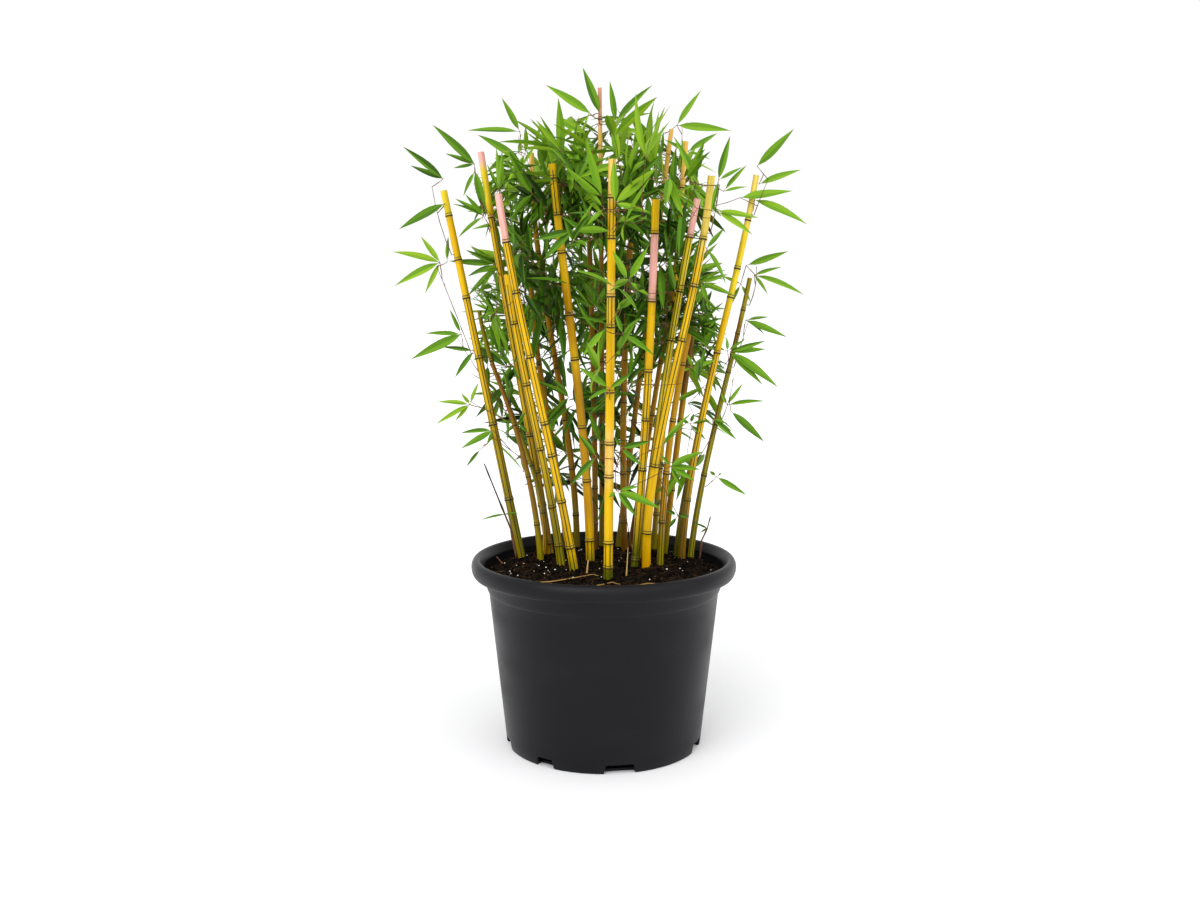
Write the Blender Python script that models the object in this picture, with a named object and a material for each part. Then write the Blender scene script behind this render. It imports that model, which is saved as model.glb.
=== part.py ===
"""Potted bamboo: a clump of cut golden canes in a round black nursery pot.

Metres, +Z up.  The origin is the centre of the pot's flat underside, +Y runs away
from the side that the plant is seen from, and +X is to its right.  Sizes are written
in millimetres and pass through MM.  Every cane, shoot and leaf mass is one closed
solid.  Each leaf mass keeps to its own space: the points that lie nearer to its own
leader, the twig that it grows along, than to any other mass's leader.
"""
import math
import random

import bmesh
import bpy
import numpy as np
from mathutils import Vector

MM = 0.001
GAP = 0.3 * MM                 # clearance between solids that touch

# ---- pot, millimetres ----
POT_SIDES = 36
BASE_R = 122.6                 # outside, at the underside
BODY_TOP_R = 143.5             # outside, under the collar
BODY_TOP_Z = 195.0
COLLAR_LOW_R = 145.3
COLLAR_LOW_Z = 197.0
COLLAR_TOP_R = 151.0
COLLAR_TOP_Z = 213.0
RIM_R = 165.0                  # widest part of the rolled rim
RIM_Z = 226.0
RIM_TOP_Z = 236.0
RIM_INNER_R = 150.0
WALL = 2.6
FLOOR = 3.0
FOOT_CHAMFER = 1.5
NOTCH_ANGLES = (8.7, -35, -75, -115, -160, 160, 115, 69)    # degrees round from the front
NOTCH_WIDTHS = (36, 24, 30, 30, 30, 30, 30, 30)
NOTCH_HEIGHT = 11.5
NOTCH_DEPTH = 11.0

# ---- soil ----
SOIL_WALL_Z = 217.5            # where it meets the pot's wall
SOIL_TOP_Z = 222.0             # the level top that the canes stand on
SOIL_TOP_R = 138.0

# ---- canes ----
CANE_SIDES = 8
CANE_FOOT_Z = SOIL_TOP_Z + GAP / MM
NODE_SWELL = 1.12
NODE_STEP = 4.0                # the swelling ends this far above the node
NODE_FIRST = 34.0              # default spacing, where a cane states no nodes
NODE_SPACING = 62.0
NODE_GROWTH = 1.06
SWAY_SCALE = 6 * math.sqrt(3)  # makes the S-bend's largest offset equal to sway

# ---- leaves and twigs ----
LEAF_LENGTH = (56.0, 74.0)
LEAF_WIDTH = 0.21              # of its length
LEAF_THICK = 1.6
LEAF_WAIST = 0.38              # where it is widest
LEAF_ARCH = 0.05               # rise of the waist over the straight line, of the length
LEAVES_PER_SPRAY = 6
SPRAY_OPENING = 165.0          # degrees between a spray's outermost leaves, nearly
HUB_R = 2.1                    # the knot that a spray's leaves and its twig grow out of
HUB_THICK = 1.7
LEADER_R = (1.7, 1.3)
LEADER_RISE = 7.0              # a leader leaves its cane this far above the node
TWIG_R = (1.0, 0.9)
TWIG_SINK = 0.8                # how far a twig starts beyond its leader's middle
SLIVER = 0.02                  # edges shorter than this are closed up after fusing
SPACE_MARGIN = 3.0             # how much nearer its own leader a point must be
TWIG_REACH = (28.0, 92.0)
CANDIDATES = 120               # ways tried for each twig
SPRAY_TRIES = 12               # turns tried for each spray
FEWEST_LEAVES = 3              # a side twig with fewer isn't kept
HUB_MARGIN = 20.0              # how much nearer its own leader a spray's knot must be
LIMB_CLEAR = 0.9

# outline of the crown: height, radius about the crown's axis
CROWN = ((270, 95), (320, 170), (400, 212), (480, 240), (560, 262), (700, 262),
         (780, 238), (820, 170), (875, 85))
CROWN_AXIS_Y = 28.0

LEAF_GREEN = (0.16, 0.36, 0.04)


def plain_material(name, colour, roughness):
    """A Principled material of one plain colour."""
    mat = bpy.data.materials.new(name)
    mat.use_nodes = True
    shader = mat.node_tree.nodes["Principled BSDF"]
    shader.inputs["Base Color"].default_value = (*colour, 1.0)
    shader.inputs["Roughness"].default_value = roughness
    mat.diffuse_color = (*colour, 1.0)
    return mat


def add_object(name, verts, faces, mat):
    """A mesh object from points in millimetres."""
    mesh = bpy.data.meshes.new(name)
    mesh.from_pydata([tuple(c * MM for c in v) for v in verts], [], faces)
    mesh.materials.append(mat)
    obj = bpy.data.objects.new(name, mesh)
    bpy.context.scene.collection.objects.link(obj)
    return obj


def smooth_shade(obj, degrees=40):
    obj.data.shade_smooth()
    obj.data.set_sharp_from_angle(angle=math.radians(degrees))


# ---------------------------------------------------------------- pot and soil

def lathe(name, profile, sides, mat):
    """Turn (radius, height) points about Z; the first and last lie on the axis."""
    verts = [(0.0, 0.0, profile[0][1])]
    for radius, z in profile[1:-1]:
        for i in range(sides):
            a = 2 * math.pi * i / sides
            verts.append((radius * math.sin(a), -radius * math.cos(a), z))
    verts.append((0.0, 0.0, profile[-1][1]))
    rings = len(profile) - 2
    last = len(verts) - 1
    faces = []
    for i in range(sides):
        j = (i + 1) % sides
        faces.append((0, 1 + j, 1 + i))
        for k in range(rings - 1):
            a = 1 + k * sides
            faces.append((a + i, a + j, a + sides + j, a + sides + i))
        a = 1 + (rings - 1) * sides
        faces.append((a + i, a + j, last))
    return add_object(name, verts, faces, mat)


def wall_radius(z):
    """Outer radius of the pot's straight wall at height z."""
    return BASE_R + (BODY_TOP_R - BASE_R) * z / BODY_TOP_Z


def rim_roll():
    """The rolled rim from the collar's top, over and down to its inner edge."""
    centre_r = (RIM_R + RIM_INNER_R) / 2 + 1.0
    half_w = RIM_R - centre_r
    points = []
    for degrees in (-62, -22, 14, 48, 78, 108, 138):
        a = math.radians(degrees)
        low = min(math.sin(a), 0) * (RIM_Z - COLLAR_TOP_Z - 1.0)
        high = max(math.sin(a), 0) * (RIM_TOP_Z - RIM_Z)
        points.append((centre_r + half_w * math.cos(a), RIM_Z + low + high))
    return points


def make_pot():
    outer = [(BASE_R - FOOT_CHAMFER, 0.0), (wall_radius(FOOT_CHAMFER), FOOT_CHAMFER),
             (BODY_TOP_R, BODY_TOP_Z), (COLLAR_LOW_R, COLLAR_LOW_Z),
             (COLLAR_TOP_R, COLLAR_TOP_Z)]
    inner = [(RIM_INNER_R - 1.0, RIM_Z), (COLLAR_TOP_R - WALL, COLLAR_TOP_Z),
             (BODY_TOP_R - WALL, BODY_TOP_Z), (wall_radius(FLOOR) - WALL, FLOOR)]
    profile = [(0.0, 0.0)] + outer + rim_roll() + inner + [(0.0, FLOOR)]
    mat = plain_material("pot_plastic", (0.020, 0.021, 0.023), 0.42)
    pot = lathe("pot", profile, POT_SIDES, mat)
    cut = pot.modifiers.new("drain notches", "BOOLEAN")
    cut.operation = "DIFFERENCE"
    cut.solver = "EXACT"
    cut.object = notch_cutter(mat)
    smooth_shade(pot)


def notch_cutter(mat):
    """Blocks that cut the drainage notches out of the pot's bottom edge."""
    verts = []
    faces = []
    for degrees, width in zip(NOTCH_ANGLES, NOTCH_WIDTHS):
        a = math.radians(degrees)
        out = Vector((math.sin(a), -math.cos(a), 0.0))
        side = Vector((math.cos(a), math.sin(a), 0.0))
        first = len(verts)
        for z, half in ((-2.0, width / 2 + 1.5), (NOTCH_HEIGHT, width / 2 - 1.5)):
            for radius, sign in ((BASE_R - NOTCH_DEPTH, -1), (BASE_R + 8, -1),
                                 (BASE_R + 8, 1), (BASE_R - NOTCH_DEPTH, 1)):
                point = out * radius + side * (half * sign)
                verts.append((point.x, point.y, z))
        for face in ((3, 2, 1, 0), (4, 5, 6, 7), (0, 1, 5, 4), (1, 2, 6, 5),
                     (2, 3, 7, 6), (3, 0, 4, 7)):
            faces.append(tuple(first + i for i in face))
    cutter = add_object("notch_cutter", verts, faces, mat)
    cutter.hide_render = True
    cutter.display_type = "WIRE"
    return cutter


def make_soil():
    """Compost filling the pot, 0.3 mm clear of its wall and floor."""
    gap = GAP / MM
    floor_z = FLOOR + gap
    inner = wall_radius(floor_z) - WALL - gap
    top = BODY_TOP_R - WALL - gap
    collar = COLLAR_TOP_R - WALL - gap
    profile = [(0.0, floor_z), (inner, floor_z), (top, BODY_TOP_Z),
               (collar, COLLAR_TOP_Z), (collar, SOIL_WALL_Z),
               (SOIL_TOP_R, SOIL_TOP_Z), (0.0, SOIL_TOP_Z)]
    mat = plain_material("compost", (0.022, 0.014, 0.009), 0.95)
    smooth_shade(lathe("soil", profile, POT_SIDES, mat), 30)


# ---------------------------------------------------------------------- canes

class Cane:
    """A leaning, gently bent cane.  Lengths in millimetres."""

    def __init__(self, foot, tip, dia, bow=0.0, sway=0.0, nodes=None):
        self.foot = Vector((foot[0], foot[1], CANE_FOOT_Z))
        self.tip = Vector(tip)
        self.dia = dia
        self.bow = bow
        self.sway = sway
        self.nodes = nodes or self.default_nodes()
        self.stations = self.rings()
        self.samples = [self.axis(t) for t, _ in self.stations]

    def default_nodes(self):
        """Node heights that open out up the cane."""
        heights = []
        z = self.foot.z + NODE_FIRST + (abs(self.foot.x * 7) + abs(self.foot.y * 3)) % 25
        step = NODE_SPACING
        while z < self.tip.z - 20:
            heights.append(z)
            z += step
            step *= NODE_GROWTH
        return heights

    def rings(self):
        """(position, swelling) of each ring: a swollen node, then a step in above it."""
        stations = [(0.0, 1.04)]
        for z in self.nodes:
            stations.append((self.at(z), NODE_SWELL))
            stations.append((self.at(z + NODE_STEP), 0.97))
        stations.append((1.0, 1.0))
        return stations

    def at(self, z):
        """Position along the cane, 0 at its foot and 1 at its tip, for a height."""
        return (z - self.foot.z) / (self.tip.z - self.foot.z)

    def axis(self, t):
        point = self.foot.lerp(self.tip, t)
        point.x += 4 * self.bow * t * (1 - t)
        point.x += SWAY_SCALE * self.sway * t * (1 - t) * (1 - 2 * t)
        return point

    def centre(self, t):
        """The middle of the faceted cane, which runs straight from ring to ring."""
        k = max(i for i, (start, _) in enumerate(self.stations[:-1]) if start <= t)
        start, end = self.stations[k][0], self.stations[k + 1][0]
        return self.samples[k].lerp(self.samples[k + 1], (t - start) / (end - start))

    def radius(self, t):
        return (self.dia[0] + (self.dia[1] - self.dia[0]) * t) / 2


# foot (x, y), tip (x, y, z), diameters (foot, tip), bends and node heights
CANES = {
    "cane_01": Cane((-107, 55), (-202, 68, 691), (11.7, 8.5), 0, 0,
                    (298, 395, 480, 556, 604, 659)),
    "cane_02": Cane((-71, 79), (-158, 105, 743), (11.2, 8.4), 0, 1,
                    (235, 286, 329, 377, 659)),
    "cane_03": Cane((-36, -29), (-123, -56, 677), (11.1, 8.2), -1, 2,
                    (253, 310, 367, 406, 486, 562, 621)),
    "cane_04": Cane((-53, 2), (-117, -8, 585), (10.7, 8.4), 0, 2,
                    (249, 298, 370, 450, 525)),
    "cane_05": Cane((-81, 40), (-142, 42, 475), (8.4, 4.4), 11),
    "cane_06": Cane((-78, 67), (-160, 79, 541), (6.5, 5.2), 10, 8),
    "cane_07": Cane((-17, 22), (-63, 18, 719), (11.4, 9.6), 5, 2,
                    (251, 327, 395, 480, 535, 611, 657, 701)),
    "cane_08": Cane((-36, 119), (-96, 168, 749), (8.8, 6.8), -1, 6),
    "cane_09": Cane((-50, 113), (-98, 150, 588), (8.1, 6.8), -2, 3),
    "cane_10": Cane((5, -73), (9, -105, 711), (11.3, 8.8), 0, 0,
                    (238, 268, 348, 387, 448, 523, 558, 623, 668)),
    "cane_11": Cane((-2, 126), (-5, 182, 836), (8.2, 5.5), 1),
    "cane_12": Cane((39, -1), (62, -14, 674), (10.6, 9.2), 3, 0,
                    (231, 345, 407, 467, 552, 633)),
    "cane_13": Cane((53, -9), (127, -28, 700), (11.2, 8.8), -6, -6,
                    (267, 351, 505, 570, 626)),
    "cane_14": Cane((48, 37), (116, 40, 679), (10.3, 8.1), -5, 0, (503, 564, 631)),
    "cane_15": Cane((101, 49), (191, 58, 709), (9.7, 7.5), -7, -4,
                    (298, 487, 557, 593, 653)),
    "cane_16": Cane((113, 56), (186, 67, 582), (8.4, 5.7), -4, -2,
                    (329, 395, 462, 511, 541)),
    "cane_17": Cane((94, 62), (124, 66, 387), (5.9, 5.2), -4),
    "cane_18": Cane((71, 8), (105, 2, 517), (8.8, 7.3), -7),
    "cane_19": Cane((80, 79), (117, 95, 523), (8.6, 7.2), -1, 0, (306, 396, 470)),
    "cane_20": Cane((28, 86), (35, 110, 628), (8.6, 7.8), -5, 0, (262, 326, 420, 510, 580)),
    "cane_21": Cane((20, 122), (91, 175, 781), (8.1, 6.1)),
    "cane_22": Cane((-11, 98), (-19, 128, 635), (8.0, 6.6), 2, 0, (258, 305, 370, 450, 530)),
    "cane_23": Cane((67, 106), (109, 150, 762), (8.1, 6.7)),
    "cane_24": Cane((36, 121), (92, 155, 569), (7.5, 6.8), 1),
}

# low shoots and cut stubs: points along each, and its end radii
SHOOTS = {
    "shoot_left": (((-112, 42, 222.3), (-119, 40, 262), (-134, 40, 300), (-152, 38, 347)), (2.0, 0.9)),
    "shoot_right": (((124, 42, 222.3), (126, 42, 247), (133, 42, 262), (137, 42, 278)), (1.5, 0.8)),
    "stub_left": (((-128, 15, 222.3), (-131, 15, 226), (-136, 15, 232)), (2.4, 1.8)),
    "stub_centre": (((-21, -52, 222.3), (-20, -52, 232), (-19, -52, 242)), (3.2, 2.4)),
    "stub_right": (((27, -58, 222.3), (28, -58, 240), (29, -58, 259)), (2.2, 1.6)),
}


def frame_of(direction):
    """Two unit vectors square to a direction."""
    direction = direction.normalized()
    side = direction.cross(Vector((0, 0, 1)))
    if side.length < 0.05:
        side = Vector((1, 0, 0)) - direction * direction.x
    side.normalize()
    return side, side.cross(direction).normalized()


def tube_mesh(points, radii, sides, level_foot=False):
    """A closed tube with flat ends along points; returns verts and faces."""
    verts = []
    count = len(points)
    for k, point in enumerate(points):
        ahead = points[min(k + 1, count - 1)] - points[max(k - 1, 0)]
        if level_foot and k == 0:
            ahead = Vector((0, 0, 1))
        side, up = frame_of(ahead)
        for i in range(sides):
            a = 2 * math.pi * i / sides
            verts.append(point + (side * math.cos(a) + up * math.sin(a)) * radii[k])
    faces = [tuple(reversed(range(sides)))]
    for k in range(count - 1):
        for i in range(sides):
            j = (i + 1) % sides
            a = k * sides
            faces.append((a + i, a + j, a + sides + j, a + sides + i))
    faces.append(tuple(range((count - 1) * sides, count * sides)))
    return verts, outward(verts, faces)


def outward(verts, faces):
    """Flip the faces if they enclose a negative volume."""
    volume = 0.0
    for face in faces:
        for i in range(1, len(face) - 1):
            a, b, c = (verts[face[0]], verts[face[i]], verts[face[i + 1]])
            volume += a.dot(b.cross(c))
    if volume < 0:
        return [tuple(reversed(face)) for face in faces]
    return faces


def make_cane(name, spec, mat):
    """A tapering cane whose nodes swell, then step in just above."""
    radii = [spec.radius(t) * swell for t, swell in spec.stations]
    verts, faces = tube_mesh(spec.samples, radii, CANE_SIDES, level_foot=True)
    smooth_shade(add_object(name, verts, faces, mat), 35)


def make_canes():
    golden = plain_material("golden_cane", (0.72, 0.47, 0.03), 0.38)
    olive = plain_material("olive_cane", (0.33, 0.24, 0.05), 0.45)
    back = {"cane_05", "cane_06", "cane_08", "cane_09", "cane_11", "cane_16", "cane_17",
            "cane_19", "cane_20", "cane_21", "cane_22", "cane_23", "cane_24"}
    for name, spec in CANES.items():
        make_cane(name, spec, olive if name in back else golden)
    shoot = plain_material("shoot_brown", (0.30, 0.16, 0.07), 0.6)
    for name, (points, radii) in SHOOTS.items():
        points = [Vector(p) for p in points]
        steps = len(points) - 1
        taper = [radii[0] + (radii[1] - radii[0]) * k / steps for k in range(steps + 1)]
        verts, faces = tube_mesh(points, taper, 6, level_foot=True)
        smooth_shade(add_object(name, verts, faces, shoot))


# --------------------------------------------------------------- leaf masses

class Mass:
    """One leaf mass: the cane and height it grows from, the point its leader ends at,
    the tips of its end spray (right and up from there) and its number of side twigs."""

    def __init__(self, cane_name, height, end, tips, twigs):
        self.cane = CANES[cane_name]
        self.height = height
        self.end = Vector(end)
        self.tips = tips
        self.twigs = twigs


MASSES = {
    "leaves_top": Mass("cane_11", 770, (-18, 168, 797), ((-21, 60), (-68, 38), (17, 44), (40, -12)), 3),
    "leaves_top_right": Mass("cane_23", 700, (105, 170, 782), ((31, 46), (68, -5), (53, 8)), 4),
    "leaves_top_mid": Mass("cane_21", 640, (44, 120, 776), ((22, 48), (46, 6), (-15, 42)), 4),
    "leaves_top_left": Mass("cane_08", 690, (-114, 172, 770), ((-22, 46), (-68, 4), (-56, -4)), 4),
    "leaves_left_top": Mass("cane_02", 659, (-165, 100, 722), ((-56, 50), (-20, 44), (-44, 8)), 4),
    "leaves_far_left_top": Mass("cane_01", 604, (-215, 58, 694), ((-46, 42), (-40, 16), (-50, -50)), 3),
    "leaves_left_upper": Mass("cane_01", 480, (-212, 66, 596),
                              ((-52, 12), (-50, -28), (-24, 32), (-18, -32)), 4),
    "leaves_left_mid": Mass("cane_06", 440, (-190, 66, 510), ((-54, -31), (-40, 2), (-10, -50), (10, 30)), 4),
    "leaves_left_low": Mass("cane_05", 395, (-172, 54, 426),
                            ((-46, 4), (-45, -26), (-11, 16), (-30, -38)), 3),
    "leaves_left_foot": Mass("cane_06", 330, (-146, 34, 385), ((-41, -2), (-39, -20), (-4, -16)), 3),
    "leaves_right_top": Mass("cane_13", 626, (136, -34, 688), ((12, 54), (33, 24), (20, -34)), 4),
    "leaves_far_right_top": Mass("cane_15", 653, (204, 46, 702),
                                 ((44, 60), (54, 12), (60, -50), (44, -14)), 3),
    "leaves_right_upper": Mass("cane_16", 541, (194, 66, 596), ((49, 22), (64, -36), (46, -22)), 4),
    "leaves_right_mid": Mass("cane_16", 462, (186, 72, 528), ((30, 4), (54, -20), (22, 26)), 4),
    "leaves_right_low": Mass("cane_16", 395, (166, 58, 455), ((42, 12), (40, -46), (58, -44), (18, 30)), 4),
    "leaves_right_foot": Mass("cane_17", 340, (150, 50, 402), ((28, 28), (50, 5), (46, -46)), 3),
    "leaves_front_top": Mass("cane_10", 623, (16, -122, 663), ((-2, 46), (45, 38), (38, -10), (-30, 10)), 4),
    "leaves_front_upper": Mass("cane_10", 523, (32, -118, 577),
                               ((-16, 36), (24, 38), (26, -14), (-38, 6)), 4),
    "leaves_front_mid": Mass("cane_10", 448, (24, -110, 515), ((-45, -24), (37, -26), (20, 16), (-6, 30)), 5),
    "leaves_front_low": Mass("cane_10", 348, (22, -96, 385), ((34, 9), (25, -21), (-28, -22), (-12, 26)), 4),
    "leaves_front_foot": Mass("cane_12", 285, (20, -62, 330), ((22, -30), (46, -20), (24, 2)), 2),
    "leaves_inner_left": Mass("cane_07", 535, (-100, -10, 610), (), 5),
    "leaves_inner_right": Mass("cane_14", 503, (78, 30, 610), (), 5),
    "leaves_inner_high": Mass("cane_07", 657, (-45, 60, 712), (), 5),
    "leaves_back_left": Mass("cane_09", 480, (-120, 190, 600), (), 5),
    "leaves_back_left_low": Mass("cane_09", 340, (-98, 165, 425), (), 4),
    "leaves_back_mid": Mass("cane_11", 500, (0, 225, 620), (), 5),
    "leaves_back_low": Mass("cane_22", 370, (4, 175, 430), (), 4),
    "leaves_back_right": Mass("cane_24", 470, (130, 180, 590), (), 5),
}


def segment_gap(points, starts, ends):
    """Distance from each point to each segment: points (n, 3) -> (n, segments)."""
    along = ends - starts
    rel = points[:, None, :] - starts[None]
    t = np.clip((rel * along).sum(-1) / (along * along).sum(-1), 0, 1)
    return np.linalg.norm(rel - t[..., None] * along, axis=-1)


def polyline_segments(lines):
    starts = np.array([p for line in lines for p in line[:-1]], dtype=float)
    ends = np.array([p for line in lines for p in line[1:]], dtype=float)
    owner = np.array([k for k, line in enumerate(lines) for _ in line[1:]])
    return starts, ends, owner


class Space:
    """Where canes, shoots and the masses' leaders are, and what lies clear of them."""

    def __init__(self):
        lines = [spec.samples for spec in CANES.values()]
        radii = [max(spec.dia) / 2 * NODE_SWELL for spec in CANES.values()]
        for points, ends in SHOOTS.values():
            lines.append([Vector(p) for p in points])
            radii.append(max(ends))
        self.limb = polyline_segments(lines)
        self.limb_r = np.array(radii)[self.limb[2]]

    def set_leaders(self, leaders):
        self.names = list(leaders)
        self.spine = polyline_segments(list(leaders.values()))

    def limb_gap(self, points):
        gaps = segment_gap(points, self.limb[0], self.limb[1]) - self.limb_r
        return gaps.min(axis=1)

    def own_margin(self, points, name):
        """How much nearer each point is to its own leader than to any other."""
        gaps = segment_gap(points, self.spine[0], self.spine[1])
        own = self.spine[2] == self.names.index(name)
        return gaps[:, ~own].min(axis=1) - gaps[:, own].min(axis=1)

    def inside(self, points):
        """True where points lie in the crown's outline and above the pot."""
        radius = np.interp(points[:, 2], [c[0] for c in CROWN], [c[1] for c in CROWN])
        r = np.hypot(points[:, 0], points[:, 1] - CROWN_AXIS_Y)
        return (r < radius) & (points[:, 2] > CROWN[0][0]) & (points[:, 2] < CROWN[-1][0])

    def fits(self, points, name, clear=LIMB_CLEAR):
        points = np.array(points, dtype=float)
        return bool((self.inside(points)).all()
                    and (self.own_margin(points, name) > SPACE_MARGIN).all()
                    and (self.limb_gap(points) > clear).all())


def bent_line(start, control, end, steps):
    """Points of a quadratic curve."""
    points = []
    for k in range(steps + 1):
        t = k / steps
        points.append(start * (1 - t) ** 2 + control * (2 * t * (1 - t)) + end * t ** 2)
    return points


def grow_leader(item, space, rng):
    """The twig from 0.3 mm off its cane to the end point, bent clear of the limbs."""
    node = min(item.cane.nodes, key=lambda z: abs(z - item.height))
    t = item.cane.at(node + LEADER_RISE)
    centre = item.cane.centre(t)
    along = (item.cane.centre(t + 0.01) - centre).normalized()
    away = item.end - centre
    away = (away - along * away.dot(along)).normalized()
    start = centre + away * (item.cane.radius(t) + GAP / MM)
    lift = start + away * LEADER_R[0] * 2
    for attempt in range(400):
        spread = 2 + attempt * 0.15
        control = lift.lerp(item.end, 0.5) + Vector(rng.gauss(0, spread) for _ in range(3))
        line = [start] + bent_line(lift, control, item.end, 4)
        fine = [a.lerp(b, f) for a, b in zip(line[1:-1], line[2:]) for f in (0.33, 0.66, 1)]
        if (space.limb_gap(np.array(fine, dtype=float)) > LEADER_R[0] + LIMB_CLEAR).all():
            return line
    raise ValueError("no clear way for a leader")


def leaf_points(root, tip, normal):
    """The waist and tip of a leaf: first edge, ridge, second edge, tip."""
    along = (tip - root).normalized()
    length = (tip - root).length
    side = normal.cross(along).normalized()
    normal = along.cross(side)
    waist = root.lerp(tip, LEAF_WAIST) + normal * (LEAF_ARCH * length)
    half = side * (LEAF_WIDTH * length / 2)
    return [waist - half, waist + normal * LEAF_THICK, waist + half, tip]


def leaf_samples(root, corners):
    """Points that stand for a leaf when it is tested against limbs and spaces."""
    left, ridge, right, tip = corners
    middle = (left + right) / 2
    points = [tip, left, right, ridge]
    for f in (0.2, 0.4, 0.6, 0.8):
        points += [root.lerp(middle, f), middle.lerp(tip, f)]
        points += [left.lerp(tip, f), right.lerp(tip, f)]
    points += [root.lerp(left, 0.6), root.lerp(right, 0.6)]
    return points


class Spray:
    """A twig with a flat knot at its end that leaves grow round, as one closed solid.

    The knot is a prism: the twig grows out of the side that faces back, and the leaves
    out of the others, in the order that they lie round it."""

    def __init__(self, line, radii, normal, leaves):
        self.axis = (line[-1] - line[-2]).normalized()
        self.normal = (normal - self.axis * normal.dot(self.axis)).normalized()
        self.flat = self.normal.cross(self.axis)
        self.centre = line[-1]
        self.leaves = sorted(leaves, key=self.turn)
        self.sides = len(leaves) + 1
        self.verts = []
        self.faces = []
        self.add_knot()
        self.add_twig(line, radii)

    def turn(self, leaf):
        """Angle of a leaf round the knot, 0 straight on."""
        return math.atan2(leaf[0].dot(self.flat), leaf[0].dot(self.axis))

    def add_knot(self):
        half = self.normal * (HUB_THICK / 2)
        for k in range(self.sides):
            a = math.pi * (2 * k + 1) / self.sides + math.pi
            corner = self.centre + (self.axis * math.cos(a) + self.flat * math.sin(a)) * HUB_R
            self.verts += [corner - half, corner + half]
        self.faces.append([2 * k for k in range(self.sides)])
        self.faces.append([2 * k + 1 for k in range(self.sides)])

    def add_twig(self, line, radii):
        last = 2 * self.sides - 2
        ring = [last, last + 1, 1, 0]
        for k in range(len(line) - 2, -1, -1):
            way = (line[k + 1] - line[max(k - 1, 0)]).normalized()
            up = (self.normal - way * self.normal.dot(way)).normalized() * radii[k] * 0.7
            side = up.cross(way)
            first = len(self.verts)
            self.verts += [line[k] - up + side, line[k] + up + side,
                           line[k] + up - side, line[k] - up - side]
            fresh = list(range(first, first + 4))
            self.bridge(ring, fresh)
            ring = fresh
        self.faces.append(ring)

    def bridge(self, ring, other):
        for i in range(4):
            j = (i + 1) % 4
            self.faces.append([ring[i], ring[j], other[j], other[i]])

    def leaf_ring(self, k):
        """The knot's side that leaf k grows from, and its middle."""
        ring = [2 * k, 2 * k + 1, 2 * k + 3, 2 * k + 2]
        return ring, sum((self.verts[i] for i in ring), Vector()) / 4

    def add_leaf(self, ring, corners):
        """Join a leaf's waist to its side of the knot, or close that side."""
        if corners is None:
            self.faces.append(ring)
            return
        left = len(self.verts)
        ridge, right, tip = left + 1, left + 2, left + 3
        self.verts += corners
        self.faces += [[ring[0], ring[1], left], [left, ridge, ring[1]],
                       [ring[1], ring[2], ridge], [ridge, right, ring[2]],
                       [ring[2], ring[3], right], [ring[3], ring[0], left, right],
                       [left, ridge, tip], [ridge, right, tip], [right, left, tip]]


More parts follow.
